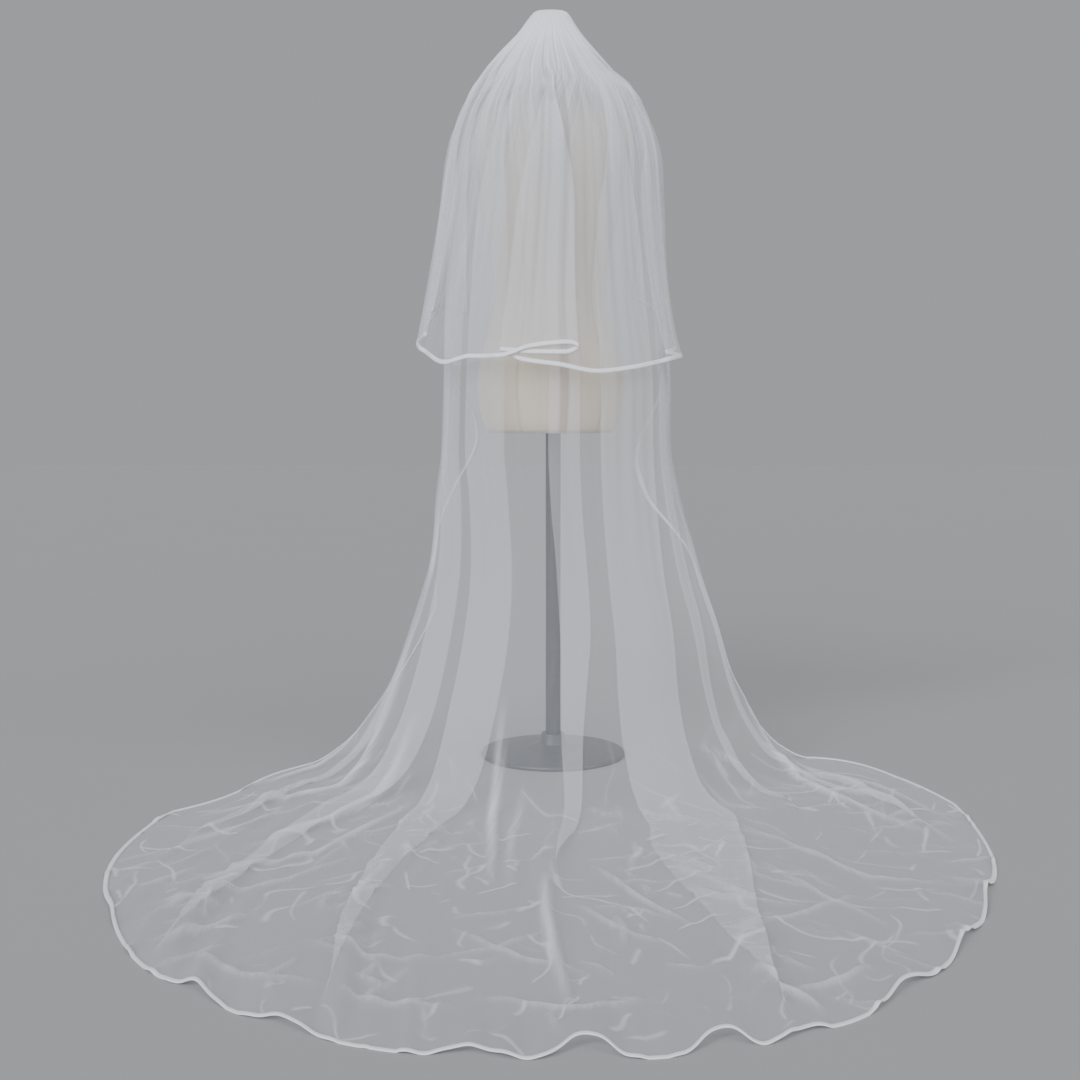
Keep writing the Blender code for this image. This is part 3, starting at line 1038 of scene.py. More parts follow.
    def lay(self) -> None:
        """Lay the whole panel and keep its grid, with the cloth sizes of each point."""
        edge = self.width / 2
        rows = [(share, 0.0) for share in self.shares]
        rows += [(1.0, part / RIBBON_CELLS) for part in range(1, RIBBON_CELLS + 1)]
        share, part = (np.array(column)[:, None] for column in zip(*rows))
        numbers = np.interp(share[:, 0], self.solid_rows, np.arange(len(self.solid_rows)))
        across, turn, lift = (np.array(column) for column in zip(*map(self.fold_row, numbers)))

        def outline(places: Array) -> Array:
            """Cloth length at which each row would end, from the ribbon's inner side outward."""
            return self.ribbon_line(places) * (1 - part) + self.panel_end(places) * part

        end = outline(turn * edge)
        end = end + (outline(across) - end) * ease(END_START, 1.0, share)
        spread = np.maximum(0.0, (share - SPREAD_START) / (1 - SPREAD_START)) ** SPREAD_POWER
        along = share * self.side + (end - self.side) * spread
        drawn, lifted = self.hem_lift(across, np.maximum(outline(turn * edge) - along, 0.0))
        along_seen = along - drawn
        closeness = np.interp(along, *FOLD_GROWTH)
        shape = along.shape
        point = self.ring_point(turn.ravel(), along_seen.ravel()).reshape(*shape, 3)
        outward = self.ring_outward(turn.ravel(), along_seen.ravel()).reshape(*shape, 3)
        height = lift * closeness + np.interp(along, *self.offset)
        self.creased = np.zeros(shape)
        for waves in self.waves:
            height = height + waves.lift(turn, along)
        if self.creases:
            train = along.max(axis=1) > TRAIN_START
            flat = point[train][..., :2]
            raised = np.zeros(flat.shape[:2])
            lined = np.zeros(flat.shape[:2])
            for crease in self.creases:
                crease.raise_near(flat, raised, lined)
            height[train] += raised
            self.creased[train] = lined
        height = height + lifted
        point = point + outward * height[..., None]
        point[..., 2] = np.maximum(point[..., 2], CLOTH_REST)
        self.grid, self.across, self.along = point, across, along

    def crowding(self) -> Array:
        """How many times the cloth is gathered at each point.

        It is the cloth's width over the width that it takes up, smoothed over five lines,
        and more where a crease runs.

        Returns:
            The number at each point, 1 where the cloth is flat.
        """
        cloth = np.gradient(self.across, axis=1)
        taken = np.linalg.norm(np.gradient(self.grid, axis=1), axis=-1)
        crowd = np.clip(cloth / np.maximum(taken, 1e-6), 1.0, MOST_CROWDING)
        kernel = np.array([1, 2, 3, 2, 1]) / 9
        padded = np.pad(crowd, ((0, 0), (2, 2)), mode="edge")
        lines = crowd.shape[1]
        smooth = sum(weight * padded[:, start : start + lines] for start, weight in enumerate(kernel))
        return smooth + CREASE_CROWDING * self.creased

    def build(
        self, tulle: bpy.types.Material, satin: bpy.types.Material
    ) -> tuple[bpy.types.Object, bpy.types.Object]:
        """Make the tulle and its ribbon.

        Args:
            tulle: the material of the panel.
            satin: the material of the ribbon.

        Returns:
            The sheet and its ribbon.
        """
        self.lay()
        rows, lines = self.across.shape
        cloth = np.stack([self.across, self.along], -1).reshape(-1, 2)
        crowding = {"crowding": self.crowding()}
        faces = grid_faces(rows, lines)
        sheet = make_mesh(f"{self.name}_tulle", self.grid.reshape(-1, 3), faces, tulle, cloth, crowding)
        outward = grid_outward(self.grid)
        cells = np.zeros((rows - 1, lines - 1), bool)
        cells[-RIBBON_CELLS:] = True
        cells[:, :RIBBON_CELLS] = True
        cells[:, -RIBBON_CELLS:] = True
        half = outward * (RIBBON_THICKNESS / 2)
        points, faces, source = shell_between(self.grid - half, self.grid + half, cells)
        points[:, 2] = np.maximum(points[:, 2], CLOTH_REST / 4)
        from_side = self.width / 2 - np.abs(self.across)
        end = self.panel_end(self.across)
        slope = np.gradient(end, axis=1) ** 2 / np.gradient(self.across, axis=1) ** 2
        from_hem = (end - self.along) / np.sqrt(1 + slope)
        inner = np.clip(np.minimum(from_side, from_hem) / RIBBON_WIDTH, 0, 1).ravel()[source]
        length = np.where(from_hem < from_side, self.across, self.along).ravel()[source]
        place = np.stack([inner * RIBBON_WIDTH, length], -1)
        ribbon = make_mesh(f"{self.name}_satin", points, faces, satin, place, {"inner": inner})
        return sheet, ribbon


def spaced_shares(limits: Sequence[float], counts: Sequence[int]) -> Array:
    """Shares of a panel's length in even runs, each with its own count of rows.

    Args:
        limits: where the runs start and end, rising.
        counts: how many rows each run has.

    Returns:
        The shares, with the last limit.
    """
    runs = [
        np.linspace(start, end, count, endpoint=False)
        for start, end, count in zip(limits, limits[1:], counts)
    ]
    return np.concatenate(runs + [np.array([limits[-1]])])


LOWER_RINGS: tuple[Row, ...] = (
    (0.000, 1.604, 0.034, 0.017, 0.034, -0.006, 72, 72),
    (0.050, 1.562, 0.062, 0.054, 0.018, -0.008, 94, 94),
    (0.100, 1.519, 0.095, 0.079, 0.012, -0.010, 108, 108),
    (0.150, 1.478, 0.125, 0.101, 0.008, -0.008, 114, 114),
    (0.200, 1.434, 0.157, 0.118, 0.004, 0.000, 118, 118),
    (0.250, 1.388, 0.180, 0.132, 0.000, 0.000, 120, 120),
    (0.320, 1.320, 0.199, 0.143, 0.000, 0.000, 122, 122),
    (0.440, 1.202, 0.212, 0.152, 0.000, 0.000, 124, 124),
    (0.600, 1.043, 0.222, 0.156, 0.000, 0.000, 128, 126),
    (0.815, 0.828, 0.235, 0.162, 0.000, 0.006, 136, 130),
    (0.945, 0.699, 0.240, 0.170, 0.000, 0.005, 134, 128),
    (1.075, 0.571, 0.258, 0.186, 0.000, 0.010, 118, 118),
    (1.215, 0.438, 0.288, 0.216, 0.000, 0.022, 110, 104),
    (1.355, 0.304, 0.332, 0.262, 0.000, 0.028, 104, 98),
    (1.500, 0.180, 0.376, 0.330, 0.000, 0.022, 97, 93),
    (1.600, 0.095, 0.424, 0.398, 0.000, 0.018, 91, 89),
    (1.690, 0.028, 0.488, 0.468, 0.000, 0.018, 87, 86),
    (1.760, 0.000, 0.560, 0.540, 0.000, 0.014, 82, 87),
    (1.900, 0.000, 0.780, 0.780, -0.100, 0.008, 62, 67),
    (2.100, 0.000, 1.020, 1.020, -0.140, 0.005, 51, 51.5),
    (2.350, 0.000, 1.300, 1.300, -0.170, 0.000, 43, 40.5),
    (2.600, 0.000, 1.550, 1.550, -0.170, 0.000, 36, 33.5),
    (2.800, 0.000, 1.750, 1.750, -0.170, 0.000, 31, 29),
)

UPPER_RINGS: tuple[Row, ...] = (
    (0.000, 1.6095, 0.008, 0.003, 0.036, -0.007, 74, 74),
    (0.010, 1.6115, 0.020, 0.010, 0.036, -0.007, 74, 74),
    (0.018, 1.6090, 0.033, 0.020, 0.036, -0.007, 76, 76),
    (0.026, 1.6010, 0.042, 0.028, 0.035, -0.007, 78, 78),
    (0.036, 1.5880, 0.052, 0.038, 0.030, -0.008, 86, 86),
    (0.050, 1.565, 0.070, 0.060, 0.021, -0.009, 98, 98),
    (0.100, 1.524, 0.108, 0.093, 0.013, -0.011, 110, 110),
    (0.150, 1.484, 0.143, 0.118, 0.008, -0.009, 115, 115),
    (0.200, 1.440, 0.178, 0.142, 0.004, 0.000, 118, 118),
    (0.250, 1.393, 0.201, 0.157, 0.000, 0.000, 120, 120),
    (0.320, 1.325, 0.218, 0.167, 0.000, 0.000, 121, 121),
    (0.440, 1.207, 0.230, 0.171, 0.000, -0.003, 124, 123),
    (0.600, 1.049, 0.249, 0.178, 0.000, -0.010, 132, 131),
    (0.720, 0.931, 0.272, 0.190, 0.000, -0.013, 139, 138),
    (0.800, 0.853, 0.294, 0.202, 0.000, -0.013, 141, 141),
    (0.880, 0.775, 0.314, 0.212, 0.000, -0.013, 141, 141),
)

LOWER_ROWS: Row = (
    0.0, 0.02, 0.045, 0.072, 0.10, 0.13, 0.17, 0.22, 0.29, 0.37, 0.45, 0.53, 0.60,
    0.635, 0.665, 0.695, 0.725, 0.755, 0.785, 0.82, 0.86, 0.90, 0.94, 0.97, 1.0,
)
UPPER_ROWS: Row = (0.0, 0.06, 0.125, 0.19, 0.26, 0.34, 0.43, 0.55, 0.68, 0.80, 0.91, 1.0)

LOWER_PLEATS = (
    Pleat(-0.795, 0.040, -1, 3, 8, 11, 21),
    Pleat(-0.580, 0.075, -1, 3, 8, 15, 23),
    Pleat(-0.310, 0.085, -1, 3, 8, 15, 23),
    Pleat(-0.015, 0.060, 1, 3, 8, 12, 20),
    Pleat(0.310, 0.130, 1, 3, 8, 18.5, 23.3),
    Pleat(0.620, 0.050, 1, 3, 8, 10, 18),
    Pleat(0.800, 0.040, 1, 3, 8, 11, 21),
)
UPPER_PLEATS = (
    Pleat(-0.780, 0.050, -1, 3, 8, 20, 30),
    Pleat(-0.520, 0.070, -1, 3, 8, 20, 30),
    Pleat(0.020, 0.140, 1, 3, 8, 20, 30),
    Pleat(0.520, 0.070, 1, 3, 8, 20, 30),
    Pleat(0.780, 0.050, 1, 3, 8, 20, 30),
)

# How far the two side edges of the long tier swing to the front, in degrees: cloth length,
# left edge, right edge.
EDGE_SWINGS: tuple[Row, ...] = (
    (0.000, 0, 0),
    (0.320, 0, 0),
    (0.440, -5, -6),
    (0.600, -26, -22),
    (0.700, -36, -34),
    (0.760, -36, -37),
    (0.815, -24, -31),
    (0.880, -5, -14),
    (0.945, 0, 1),
    (1.010, -2, 9),
    (1.075, -7, 11),
    (1.145, -18, 3),
    (1.215, -16, -8),
    (1.285, 4, -10),
    (1.355, 12, -8),
    (1.500, 9, -4),
    (1.600, 4, -2),
    (1.690, 0, 0),
    (1.760, -2, 0),
    (1.900, -5, 0),
    (2.100, -1, 0),
    (2.350, 0, 0),
    (2.800, 0, 0),
)

# Line of the short hem: place across the cloth, how far it is drawn in.
SHORT_HEM: tuple[Row, ...] = (
    (-0.950, 0.034),
    (-0.894, 0.058),
    (-0.833, 0.078),
    (-0.752, 0.072),
    (-0.694, 0.046),
    (-0.633, 0.042),
    (-0.572, 0.042),
    (-0.485, 0.030),
    (-0.433, 0.020),
    (-0.372, 0.004),
    (-0.311, -0.013),
    (-0.250, 0.000),
    (-0.189, -0.001),
    (-0.128, 0.020),
    (-0.066, 0.027),
    (-0.028, 0.007),
    (0.033, 0.008),
    (0.089, 0.013),
    (0.133, -0.007),
    (0.195, -0.018),
    (0.256, -0.033),
    (0.317, -0.025),
    (0.378, -0.014),
    (0.439, -0.006),
    (0.539, 0.000),
    (0.639, 0.010),
    (0.700, 0.031),
    (0.754, 0.044),
    (0.839, 0.057),
    (0.900, 0.068),
    (0.950, 0.072),
)

# Creases of the train, listed one by one as floor places from their upper end down.
TRAIN_CREASES = (
    Crease(((0.40, 0.02), (0.48, -0.16), (0.56, -0.36), (0.68, -0.66)), 0.011, 0.014),
    Crease(((0.44, -0.05), (0.54, -0.24), (0.66, -0.44), (0.72, -0.70)), 0.008, 0.012),
    Crease(((0.50, -0.08), (0.66, -0.28), (0.76, -0.56)), 0.007, 0.012),
    Crease(((0.33, -0.54), (0.43, -0.71), (0.52, -0.88), (0.66, -0.90)), 0.008, 0.011),
    Crease(((-0.30, -0.06), (-0.44, -0.30), (-0.68, -0.52)), 0.012, 0.016),
    Crease(((-0.28, -0.22), (-0.42, -0.54), (-0.55, -0.72)), 0.010, 0.015),
    Crease(((-0.27, -0.40), (-0.42, -0.74), (-0.62, -0.90)), 0.009, 0.013),
    Crease(((-0.38, -0.02), (-0.52, -0.14), (-0.64, -0.32)), 0.009, 0.012),
    Crease(((-0.45, -0.38), (-0.60, -0.59), (-0.70, -0.77)), 0.007, 0.011),
    Crease(((-0.34, -0.74), (-0.48, -0.92), (-0.66, -1.00)), 0.007, 0.011),
    Crease(((-0.10, -0.30), (-0.12, -0.50), (-0.11, -0.88)), 0.012, 0.012),
    Crease(((-0.06, -0.42), (-0.08, -0.62), (-0.08, -0.96)), 0.006, 0.011),
    Crease(((-0.02, -0.88), (-0.02, -1.05), (-0.01, -1.20), (0.01, -1.42)), 0.013, 0.011),
    Crease(((-0.12, -1.36), (0.01, -1.42), (0.13, -1.37)), 0.008, 0.012),
    Crease(((0.26, -1.30), (0.31, -1.36), (0.34, -1.43)), 0.010, 0.012),
    Crease(((0.31, -1.36), (0.37, -1.32), (0.44, -1.26)), 0.009, 0.012),
    Crease(((-0.58, -1.20), (-0.54, -1.12), (-0.46, -1.03)), 0.008, 0.012),
    Crease(((-0.54, -1.20), (-0.45, -1.29), (-0.32, -1.32)), 0.007, 0.012),
    Crease(((-0.30, -1.36), (-0.23, -1.39), (-0.14, -1.40)), 0.008, 0.012),
    Crease(((0.06, -0.80), (0.13, -0.98), (0.21, -1.11)), 0.008, 0.010),
    Crease(((0.02, -0.98), (0.09, -1.12), (0.17, -1.19)), 0.007, 0.010),
    Crease(((0.24, -0.88), (0.30, -0.98), (0.40, -1.01)), 0.006, 0.010),
    Crease(((0.24, -1.12), (0.37, -1.05), (0.49, -0.95)), 0.007, 0.011),
    Crease(((-0.17, -1.10), (-0.06, -1.23), (0.05, -1.29)), 0.007, 0.011),
    Crease(((-0.20, -1.24), (-0.09, -1.19), (0.00, -1.10)), 0.006, 0.010),
    Crease(((0.35, -0.77), (0.42, -0.96), (0.51, -1.11)), 0.007, 0.010),
    Crease(((-0.38, -1.15), (-0.27, -1.23), (-0.16, -1.23)), 0.007, 0.011),
)

# Waves of the long hem: place across the cloth, half width, how far drawn in, how far lifted.
LOWER_HEM_WAVES: tuple[Row, ...] = (
    (-0.715, 0.022, 0.012, 0.005),
    (-0.600, 0.070, -0.020, 0.000),
    (-0.490, 0.034, 0.020, 0.010),
    (-0.355, 0.042, 0.020, 0.009),
    (-0.110, 0.045, 0.018, 0.010),
    (0.030, 0.040, 0.040, 0.020),
    (0.210, 0.038, 0.036, 0.018),
    (0.330, 0.035, 0.014, 0.006),
    (0.500, 0.045, 0.026, 0.014),
    (0.640, 0.035, 0.022, 0.012),
    (0.755, 0.028, 0.022, 0.012),
    (0.835, 0.055, -0.020, 0.000),
)


def fan_creases(seed: int, count: int) -> tuple[Crease, ...]:
    """Small creases that spread over the train from the foot of the form.

    Each starts at a drawn angle and radius about a point behind the foot, runs outward
    with a drawn swerve, and is more crosswise and shorter in the middle of the train.

    Args:
        seed: start of the draws.
        count: how many creases.

    Returns:
        The creases.
    """
    widest, nearest, farthest, behind = 82, 0.30, 1.28, 0.18
    # Swerve in degrees, on the right or not: its mean, its spread and how the spread grows.
    swerves = {True: (34, 12, 30), False: (-22, 6, 34)}
    draw = np.random.default_rng(seed)
    made = []
    for _ in range(count):
        angle = draw.uniform(-widest, widest)
        start = draw.uniform(nearest, farthest)
        middle = 1 - abs(angle) / widest
        length = draw.uniform(0.08, 0.28) * (1 - 0.45 * middle)
        mean, spread, growth = swerves[angle > 0]
        swerve = draw.normal(mean * middle, spread + growth * middle)
        way = math.radians(angle)
        turn = math.radians(angle + swerve)
        first = (start * math.sin(way), -behind - start * math.cos(way))
        bend = (first[0] + length / 2 * math.sin(turn), first[1] - length / 2 * math.cos(turn))
        turn += math.radians(draw.normal(0, 20))
        last = (bend[0] + length / 2 * math.sin(turn), bend[1] - length / 2 * math.cos(turn))
        height = draw.uniform(0.0025, 0.0070)
        made.append(Crease((first, bend, last), height, draw.uniform(0.007, 0.010)))
    return tuple(made)


def long_tier() -> Tier:
    """Describe the long tier with its train.

    Returns:
        The tier, not yet laid.
    """
    return Tier(
        name="lower_tier",
        width=1.90,
        length=2.78,
        side=2.04,
        square=2.7,
        rings=LOWER_RINGS,
        solid_rows=LOWER_ROWS,
        pleats=LOWER_PLEATS,
        lines=420,
        shares=spaced_shares((0.0, 0.08, 0.6, 0.8, 0.995, 1.0), (12, 52, 56, 102, 3)),
        waves=(
            GatherWaves(11, 18, 48, 16, 0.0044, (-0.02, 0.22), (0.8, 1.5)),
            GatherWaves(12, 3, 10, 6, 0.0030, (0.15, 0.5), (1.35, 1.85)),
            GatherWaves(13, 12, 44, 16, 0.0026, (1.62, 2.0), (5.0, 6.0)),
        ),
        creases=TRAIN_CREASES + fan_creases(21, 200),
        hem_waves=LOWER_HEM_WAVES,
        offset=((0.0, 0.10, 0.35, 0.7), (-0.003, -0.005, -0.002, 0.0)),
        swings=EDGE_SWINGS,
    )


def short_tier() -> Tier:
    """Describe the short tier, which lies over the long one.

    Returns:
        The tier, not yet laid.
    """
    return Tier(
        name="upper_tier",
        width=1.90,
        length=0.775,
        side=0.70,
        square=4.0,
        rings=UPPER_RINGS,
        solid_rows=UPPER_ROWS,
        pleats=UPPER_PLEATS,
        lines=420,
        shares=spaced_shares((0.0, 0.15, 1.0), (18, 90)),
        waves=(
            GatherWaves(31, 20, 58, 18, 0.0078, (-0.03, 0.26), (0.62, 0.80), 0.0065),
            GatherWaves(32, 3, 9, 5, 0.0030, (0.15, 0.6), (2.0, 3.0)),
        ),
        offset=((0.0, 0.18, 0.35, 0.8), (-0.002, -0.003, 0.002, 0.0)),
        hem_line=SHORT_HEM,
    )


@dataclass
class Veil:
    """Both tiers, the band that joins them and the comb."""

    tulle: bpy.types.Material
    satin: bpy.types.Material
    steel: bpy.types.Material

    def dress(self, tier: Tier, panel_node: str, ribbon_node: str) -> None:
        """Build a tier and hide the solids that it replaces.

        Args:
            tier: the tier.
            panel_node: the solid that its tulle replaces.
            ribbon_node: the solid that its ribbon replaces.
        """
        sheet, ribbon = tier.build(self.tulle, self.satin)
        stand_for(panel_node)
        stand_for(ribbon_node)

    def band(self) -> None:
        """Make the gathered satin band over the comb.

        Its section is a rounded box that is carried round the back of the neck, with
        small puckers across it, and its ends are rounded off.
        """
        steps, sides, opening, bow, half_length = 240, 28, 78, 0.7, 0.06
        share = np.linspace(-1, 1, steps)[:, None]
        angle = np.radians(opening) * share
        round_way = np.linspace(0, 2 * math.pi, sides, endpoint=False)[None, :]
        end = np.sqrt(np.clip(1 - np.abs(share) ** 6, 0, 1)) * 0.96 + 0.04
        pucker = 1 + 0.07 * np.sin(share * 88 + np.sin(share * 9)) + 0.04 * np.sin(share * 47 + 1.3)
        over = signed_power(np.cos(round_way), bow) * end
        up = signed_power(np.sin(round_way), bow) * end
        half_width = 0.0300 + 0.0065 * over * pucker
        depth = 0.0150 + 0.0075 * over * pucker
        back = 0.036 + 0.002 * over
        height = 1.6015 - 0.0040 * share**2 + 0.0050 * up * pucker
        place = (half_width * np.sin(angle) - 0.007, -(back + depth * np.cos(angle)), height)
        grid = np.stack(np.broadcast_arrays(*place), axis=-1)
        points, faces = closed_body(grid, grid[[0, -1]].mean(axis=1))
        along = np.append(np.repeat(share[:, 0] * half_length, sides), [-half_length, half_length])
        inner = np.concatenate([np.tile(0.5 + 0.32 * np.cos(round_way[0]), steps), [0.5, 0.5]])
        cloth = np.stack([inner * RIBBON_WIDTH, along], -1)
        item = make_mesh("gather_band_satin", points, faces, self.satin, cloth, {"inner": inner})
        stand_for("gather_band")

    def build(self) -> None:
        """Make every piece of the veil."""
        self.dress(long_tier(), "lower_tier", "lower_tier_ribbon")
        self.dress(short_tier(), "upper_tier", "upper_tier_ribbon")
        self.band()
        node = bpy.data.objects["comb"]
        node.data.materials.clear()
        node.data.materials.append(self.steel)


@dataclass
class TurnedPiece:
    """A body of revolution: its profile as radius and height, from the underside up."""

    name: str
    node: str
    slot: str
    profile: tuple[tuple[float, float], ...]
    sides: int = 96

    def build(self, finish: bpy.types.Material) -> None:
        """Make the body, with a point of its own at each end of the axis.

        Args:
            finish: its material.
        """
        profile = np.array(self.profile)
        angle = np.linspace(0, 2 * math.pi, self.sides, endpoint=False)[None, :]
        radius = profile[:, :1]
        height = np.broadcast_to(profile[:, 1:], (len(profile), self.sides))
        grid = np.stack([radius * np.cos(angle), radius * np.sin(angle), height], axis=-1)
        ends = np.array([[0, 0, profile[0, 1]], [0, 0, profile[-1, 1]]])
        item = make_mesh(self.name, *closed_body(grid, ends), finish)
        stand_for(self.node)


def rounded(profile: Sequence[tuple[float, float, float]]) -> tuple[tuple[float, float], ...]:
    """Round off the corners of a profile.

    Each corner has a radius and a height and a rounding, and is replaced by a quadratic
    curve from the rounding before it to the rounding after it.

    Args:
        profile: the corners, as radius, height and rounding.

    Returns:
        The rounded profile.
    """
    corners = np.array(profile, float)
    made: list[tuple[float, float]] = []
    for number, (radius, height, rounding) in enumerate(profile):
        here = corners[number, :2]
        if rounding <= 0 or number in (0, len(profile) - 1):
            made.append((radius, height))
            continue
        before = corners[number - 1, :2] - here
        after = corners[number + 1, :2] - here
        start = here + before / np.linalg.norm(before) * rounding
        end = here + after / np.linalg.norm(after) * rounding
        for share in np.linspace(0, 1, 6):
            place = (1 - share) ** 2 * start + 2 * share * (1 - share) * here + share**2 * end
            made.append((float(place[0]), float(place[1])))
    return tuple(made)


@dataclass
class DressForm:
    """The limbless torso, its neck cap and its stand.

    rings holds height, half width and half depth from the bottom up. turned is the angle of
    the middle of its back, in degrees, and seams holds the angles of the seams from there.
    """

    cover: bpy.types.Material
    cap: bpy.types.Material
    paint: bpy.types.Material
    rings: tuple[Row, ...] = (
        (0.720, 0.134, 0.104),
        (0.727, 0.142, 0.111),
        (0.762, 0.153, 0.121),
        (0.812, 0.161, 0.127),
        (0.865, 0.157, 0.122),
        (0.940, 0.136, 0.106),
        (1.020, 0.122, 0.094),
        (1.100, 0.129, 0.098),
        (1.190, 0.148, 0.107),
        (1.270, 0.159, 0.109),
        (1.335, 0.166, 0.101),
        (1.375, 0.167, 0.086),
        (1.402, 0.153, 0.074),
        (1.426, 0.121, 0.065),
        (1.450, 0.086, 0.059),
        (1.476, 0.063, 0.055),
        (1.510, 0.053, 0.052),
        (1.553, 0.049, 0.049),
    )
    shift: float = -0.006
    turned: float = -81.0
    seams: Row = (0, 180, -34, 34, 146, 214, 90, 270)
    neck_seam: float = 1.470
    rows: int = 190
    rim_rows: int = 8
    sides: int = 160

    def torso(self) -> None:
        """Make the covered torso.

        Each level is an oval a * |cos|^n over and b * |sin|^n deep through the table's smooth
        curves, and the seams are shallow grooves where the angle meets theirs.
        """
        bottom, top = self.rings[0][0], self.rings[-1][0]
        rim = np.linspace(bottom, bottom + 0.010, self.rim_rows)
        wall = np.linspace(bottom + 0.014, top, self.rows - self.rim_rows)
        height = np.concatenate([rim, wall])[:, None]
        half_width, half_depth = (curve_of(self.rings, column, height) for column in (1, 2))
        shift = self.shift * (1 - ease(1.40, 1.50, height))
        squareness = 0.92 + 0.08 * ease(1.38, 1.46, height)
        angle = np.linspace(0, 2 * math.pi, self.sides, endpoint=False)[None, :]
        over = signed_power(np.cos(angle), squareness)
        deep = signed_power(np.sin(angle), squareness)
        seam = np.exp(-(((height - self.neck_seam) / 0.0035) ** 2)) * np.ones_like(angle)
        for step in self.seams:
            off = degrees_off(angle, self.turned + step)
            seam = np.maximum(seam, np.exp(-((off / 1.3) ** 2)))
        tape = (1 - ease(2.6, 3.8, degrees_off(angle, self.turned))) * np.ones_like(height)
        sunk = 1 - 0.0012 / half_width * seam
        place = (shift + half_width * over * sunk, half_depth * deep * sunk, height)
        grid = np.stack(np.broadcast_arrays(*place), axis=-1)
        points, faces = closed_body(grid, np.array([[self.shift, 0, bottom], [0, 0, top]]))
        numbers = {"seam": seam, "tape": tape, "round": angle * half_width}
        numbers = {name: np.append(values.ravel(), [0.0, 0.0]) for name, values in numbers.items()}
        item = make_mesh("form_cover", points, faces, self.cover, None, numbers)
        stand_for("dress_form")

    def build(self) -> None:
        """Make the torso, the cap, the pole and the foot."""
        self.torso()
        cap = (
            (0.0380, 1.5533, 0),
            (0.0459, 1.5533, 0.003),
            (0.0459, 1.5720, 0.005),
            (0.0380, 1.5785, 0.006),
            (0.0060, 1.5800, 0.002),
            (0.0010, 1.5800, 0),
        )
        pole = (
            (0.0140, 0.0503, 0),
            (0.0165, 0.0503, 0.001),
            (0.0165, 0.4000, 0),
            (0.0165, 0.7197, 0.001),
            (0.0140, 0.7197, 0),
        )
        base = (
            (0.1500, 0.0, 0),
            (0.1590, 0.0, 0.001),
            (0.1610, 0.0040, 0.003),
            (0.1580, 0.0100, 0.003),
            (0.0600, 0.0180, 0.008),
            (0.0300, 0.0260, 0.005),
            (0.0260, 0.0500, 0.002),
            (0.0180, 0.0500, 0),
        )
        TurnedPiece("neck_cap_turned", "neck_cap", "neck_cap", rounded(cap)).build(self.cap)
        TurnedPiece("stand_pole_painted", "stand_pole", "stand_paint", rounded(pole)).build(self.paint)
        TurnedPiece("stand_base_painted", "stand_base", "stand_paint", rounded(base)).build(self.paint)


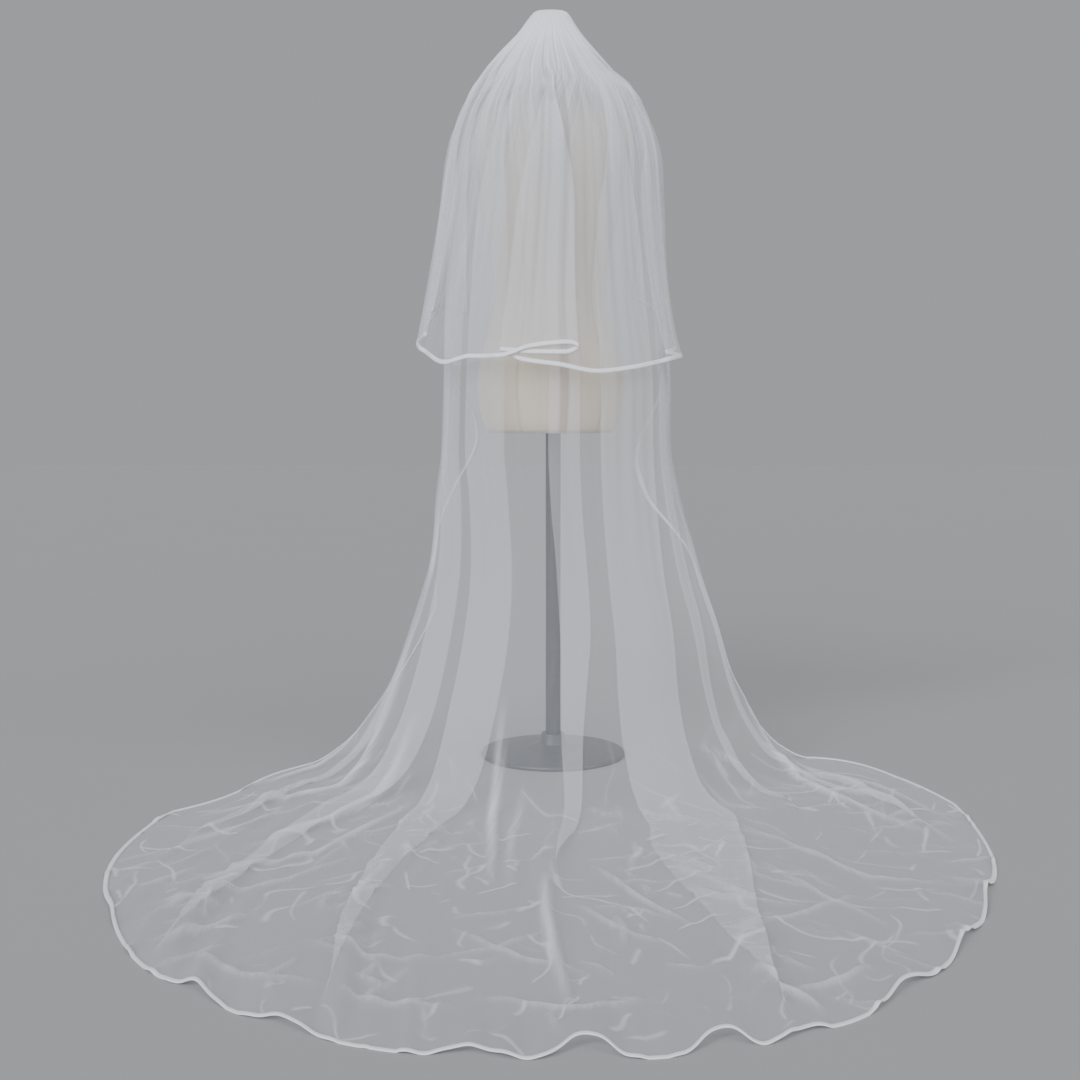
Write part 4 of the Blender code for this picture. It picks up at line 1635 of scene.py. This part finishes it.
@dataclass
class Studio:
    """Pale floor, soft light and the camera at the photograph's angle."""

    background: Row = (0.375, 0.380, 0.390)
    camera_place: Row = (-0.029, -3.30, 0.80)
    camera_down: float = 5.5
    floor_reach: float = 14.0
    floor_rows: int = 24

    def floor(self) -> None:
        """Make the floor, a wide sheet of cells."""
        places = np.linspace(-self.floor_reach, self.floor_reach, self.floor_rows)
        grid = np.stack(np.broadcast_arrays(places[None, :], -places[:, None], 0.0), axis=-1)
        mesh = bpy.data.meshes.new(Stage.FLOOR.value)
        faces = grid_faces(self.floor_rows, self.floor_rows)
        mesh.from_pydata(grid.reshape(-1, 3).tolist(), [], faces.tolist())
        mesh.materials.append(FloorFinish().build())
        placed(Stage.FLOOR.value, mesh)

    def sun(self, stage: Stage, aim: Row, strength: float, colour: Row, softness: float) -> None:
        """Add one wide soft light.

        Args:
            stage: its name.
            aim: where it stands, as side, back and height, with the light looking at the veil.
            strength: its strength.
            colour: its colour.
            softness: how wide it is, in degrees.
        """
        lamp = bpy.data.lights.new(stage.value, "SUN")
        lamp.energy = strength
        lamp.color = colour
        lamp.angle = math.radians(softness)
        side, back, height = aim
        tilt = math.atan2(math.hypot(side, back), height)
        placed(stage.value, lamp).rotation_euler = (tilt, 0.0, math.atan2(side, -back))

    def build(self) -> None:
        """Make the floor, the lights, the background and the camera."""
        scene = bpy.context.scene
        self.floor()
        self.sun(Stage.KEY, (-1.5, -2.6, 1.7), strength=2.90, colour=(0.93, 0.96, 1.0), softness=45)
        self.sun(Stage.FILL, (2.2, -2.0, 1.6), strength=1.25, colour=(1.0, 0.98, 0.95), softness=60)
        world = bpy.data.worlds.new("studio_world")
        world.use_nodes = True
        inputs = world.node_tree.nodes["Background"].inputs
        inputs["Color"].default_value = (*self.background, 1.0)
        inputs["Strength"].default_value = 1.0
        scene.world = world
        scene.cycles.transparent_max_bounces = 64
        lens = bpy.data.cameras.new(Stage.CAMERA.value)
        lens.lens = 50.0
        lens.sensor_width = 36.0
        lens.clip_end = 100.0
        scene.camera = placed(Stage.CAMERA.value, lens)
        scene.camera.location = self.camera_place
        scene.camera.rotation_euler = (math.radians(90 - self.camera_down), 0.0, 0.0)


def main() -> None:
    """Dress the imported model, piece by piece."""
    logging.basicConfig(level=logging.INFO, format="%(asctime)s %(message)s")
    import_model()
    Studio().build()
    steel = HardFinish(
        name="comb_metal",
        colour=(0.62, 0.62, 0.64),
        worn=(0.50, 0.50, 0.52),
        roughness=0.28,
        metallic=1.0,
        grain=(300.0, 300.0, 20.0),
    )
    cap = HardFinish(
        name="neck_cap_finish",
        colour=(0.10, 0.085, 0.07),
        worn=(0.16, 0.14, 0.12),
        roughness=0.42,
        grain=(60.0, 60.0, 60.0),
        coat=0.1,
    )
    paint = HardFinish(
        name="stand_paint",
        colour=(0.050, 0.053, 0.060),
        worn=(0.085, 0.088, 0.096),
        roughness=0.42,
        grain=(90.0, 90.0, 90.0),
        coat=0.2,
    )
    Veil(TulleFinish().build(), SatinFinish().build(), steel.build()).build()
    DressForm(CoverFinish().build(), cap.build(), paint.build()).build()


if __name__ == "__main__":
    main()
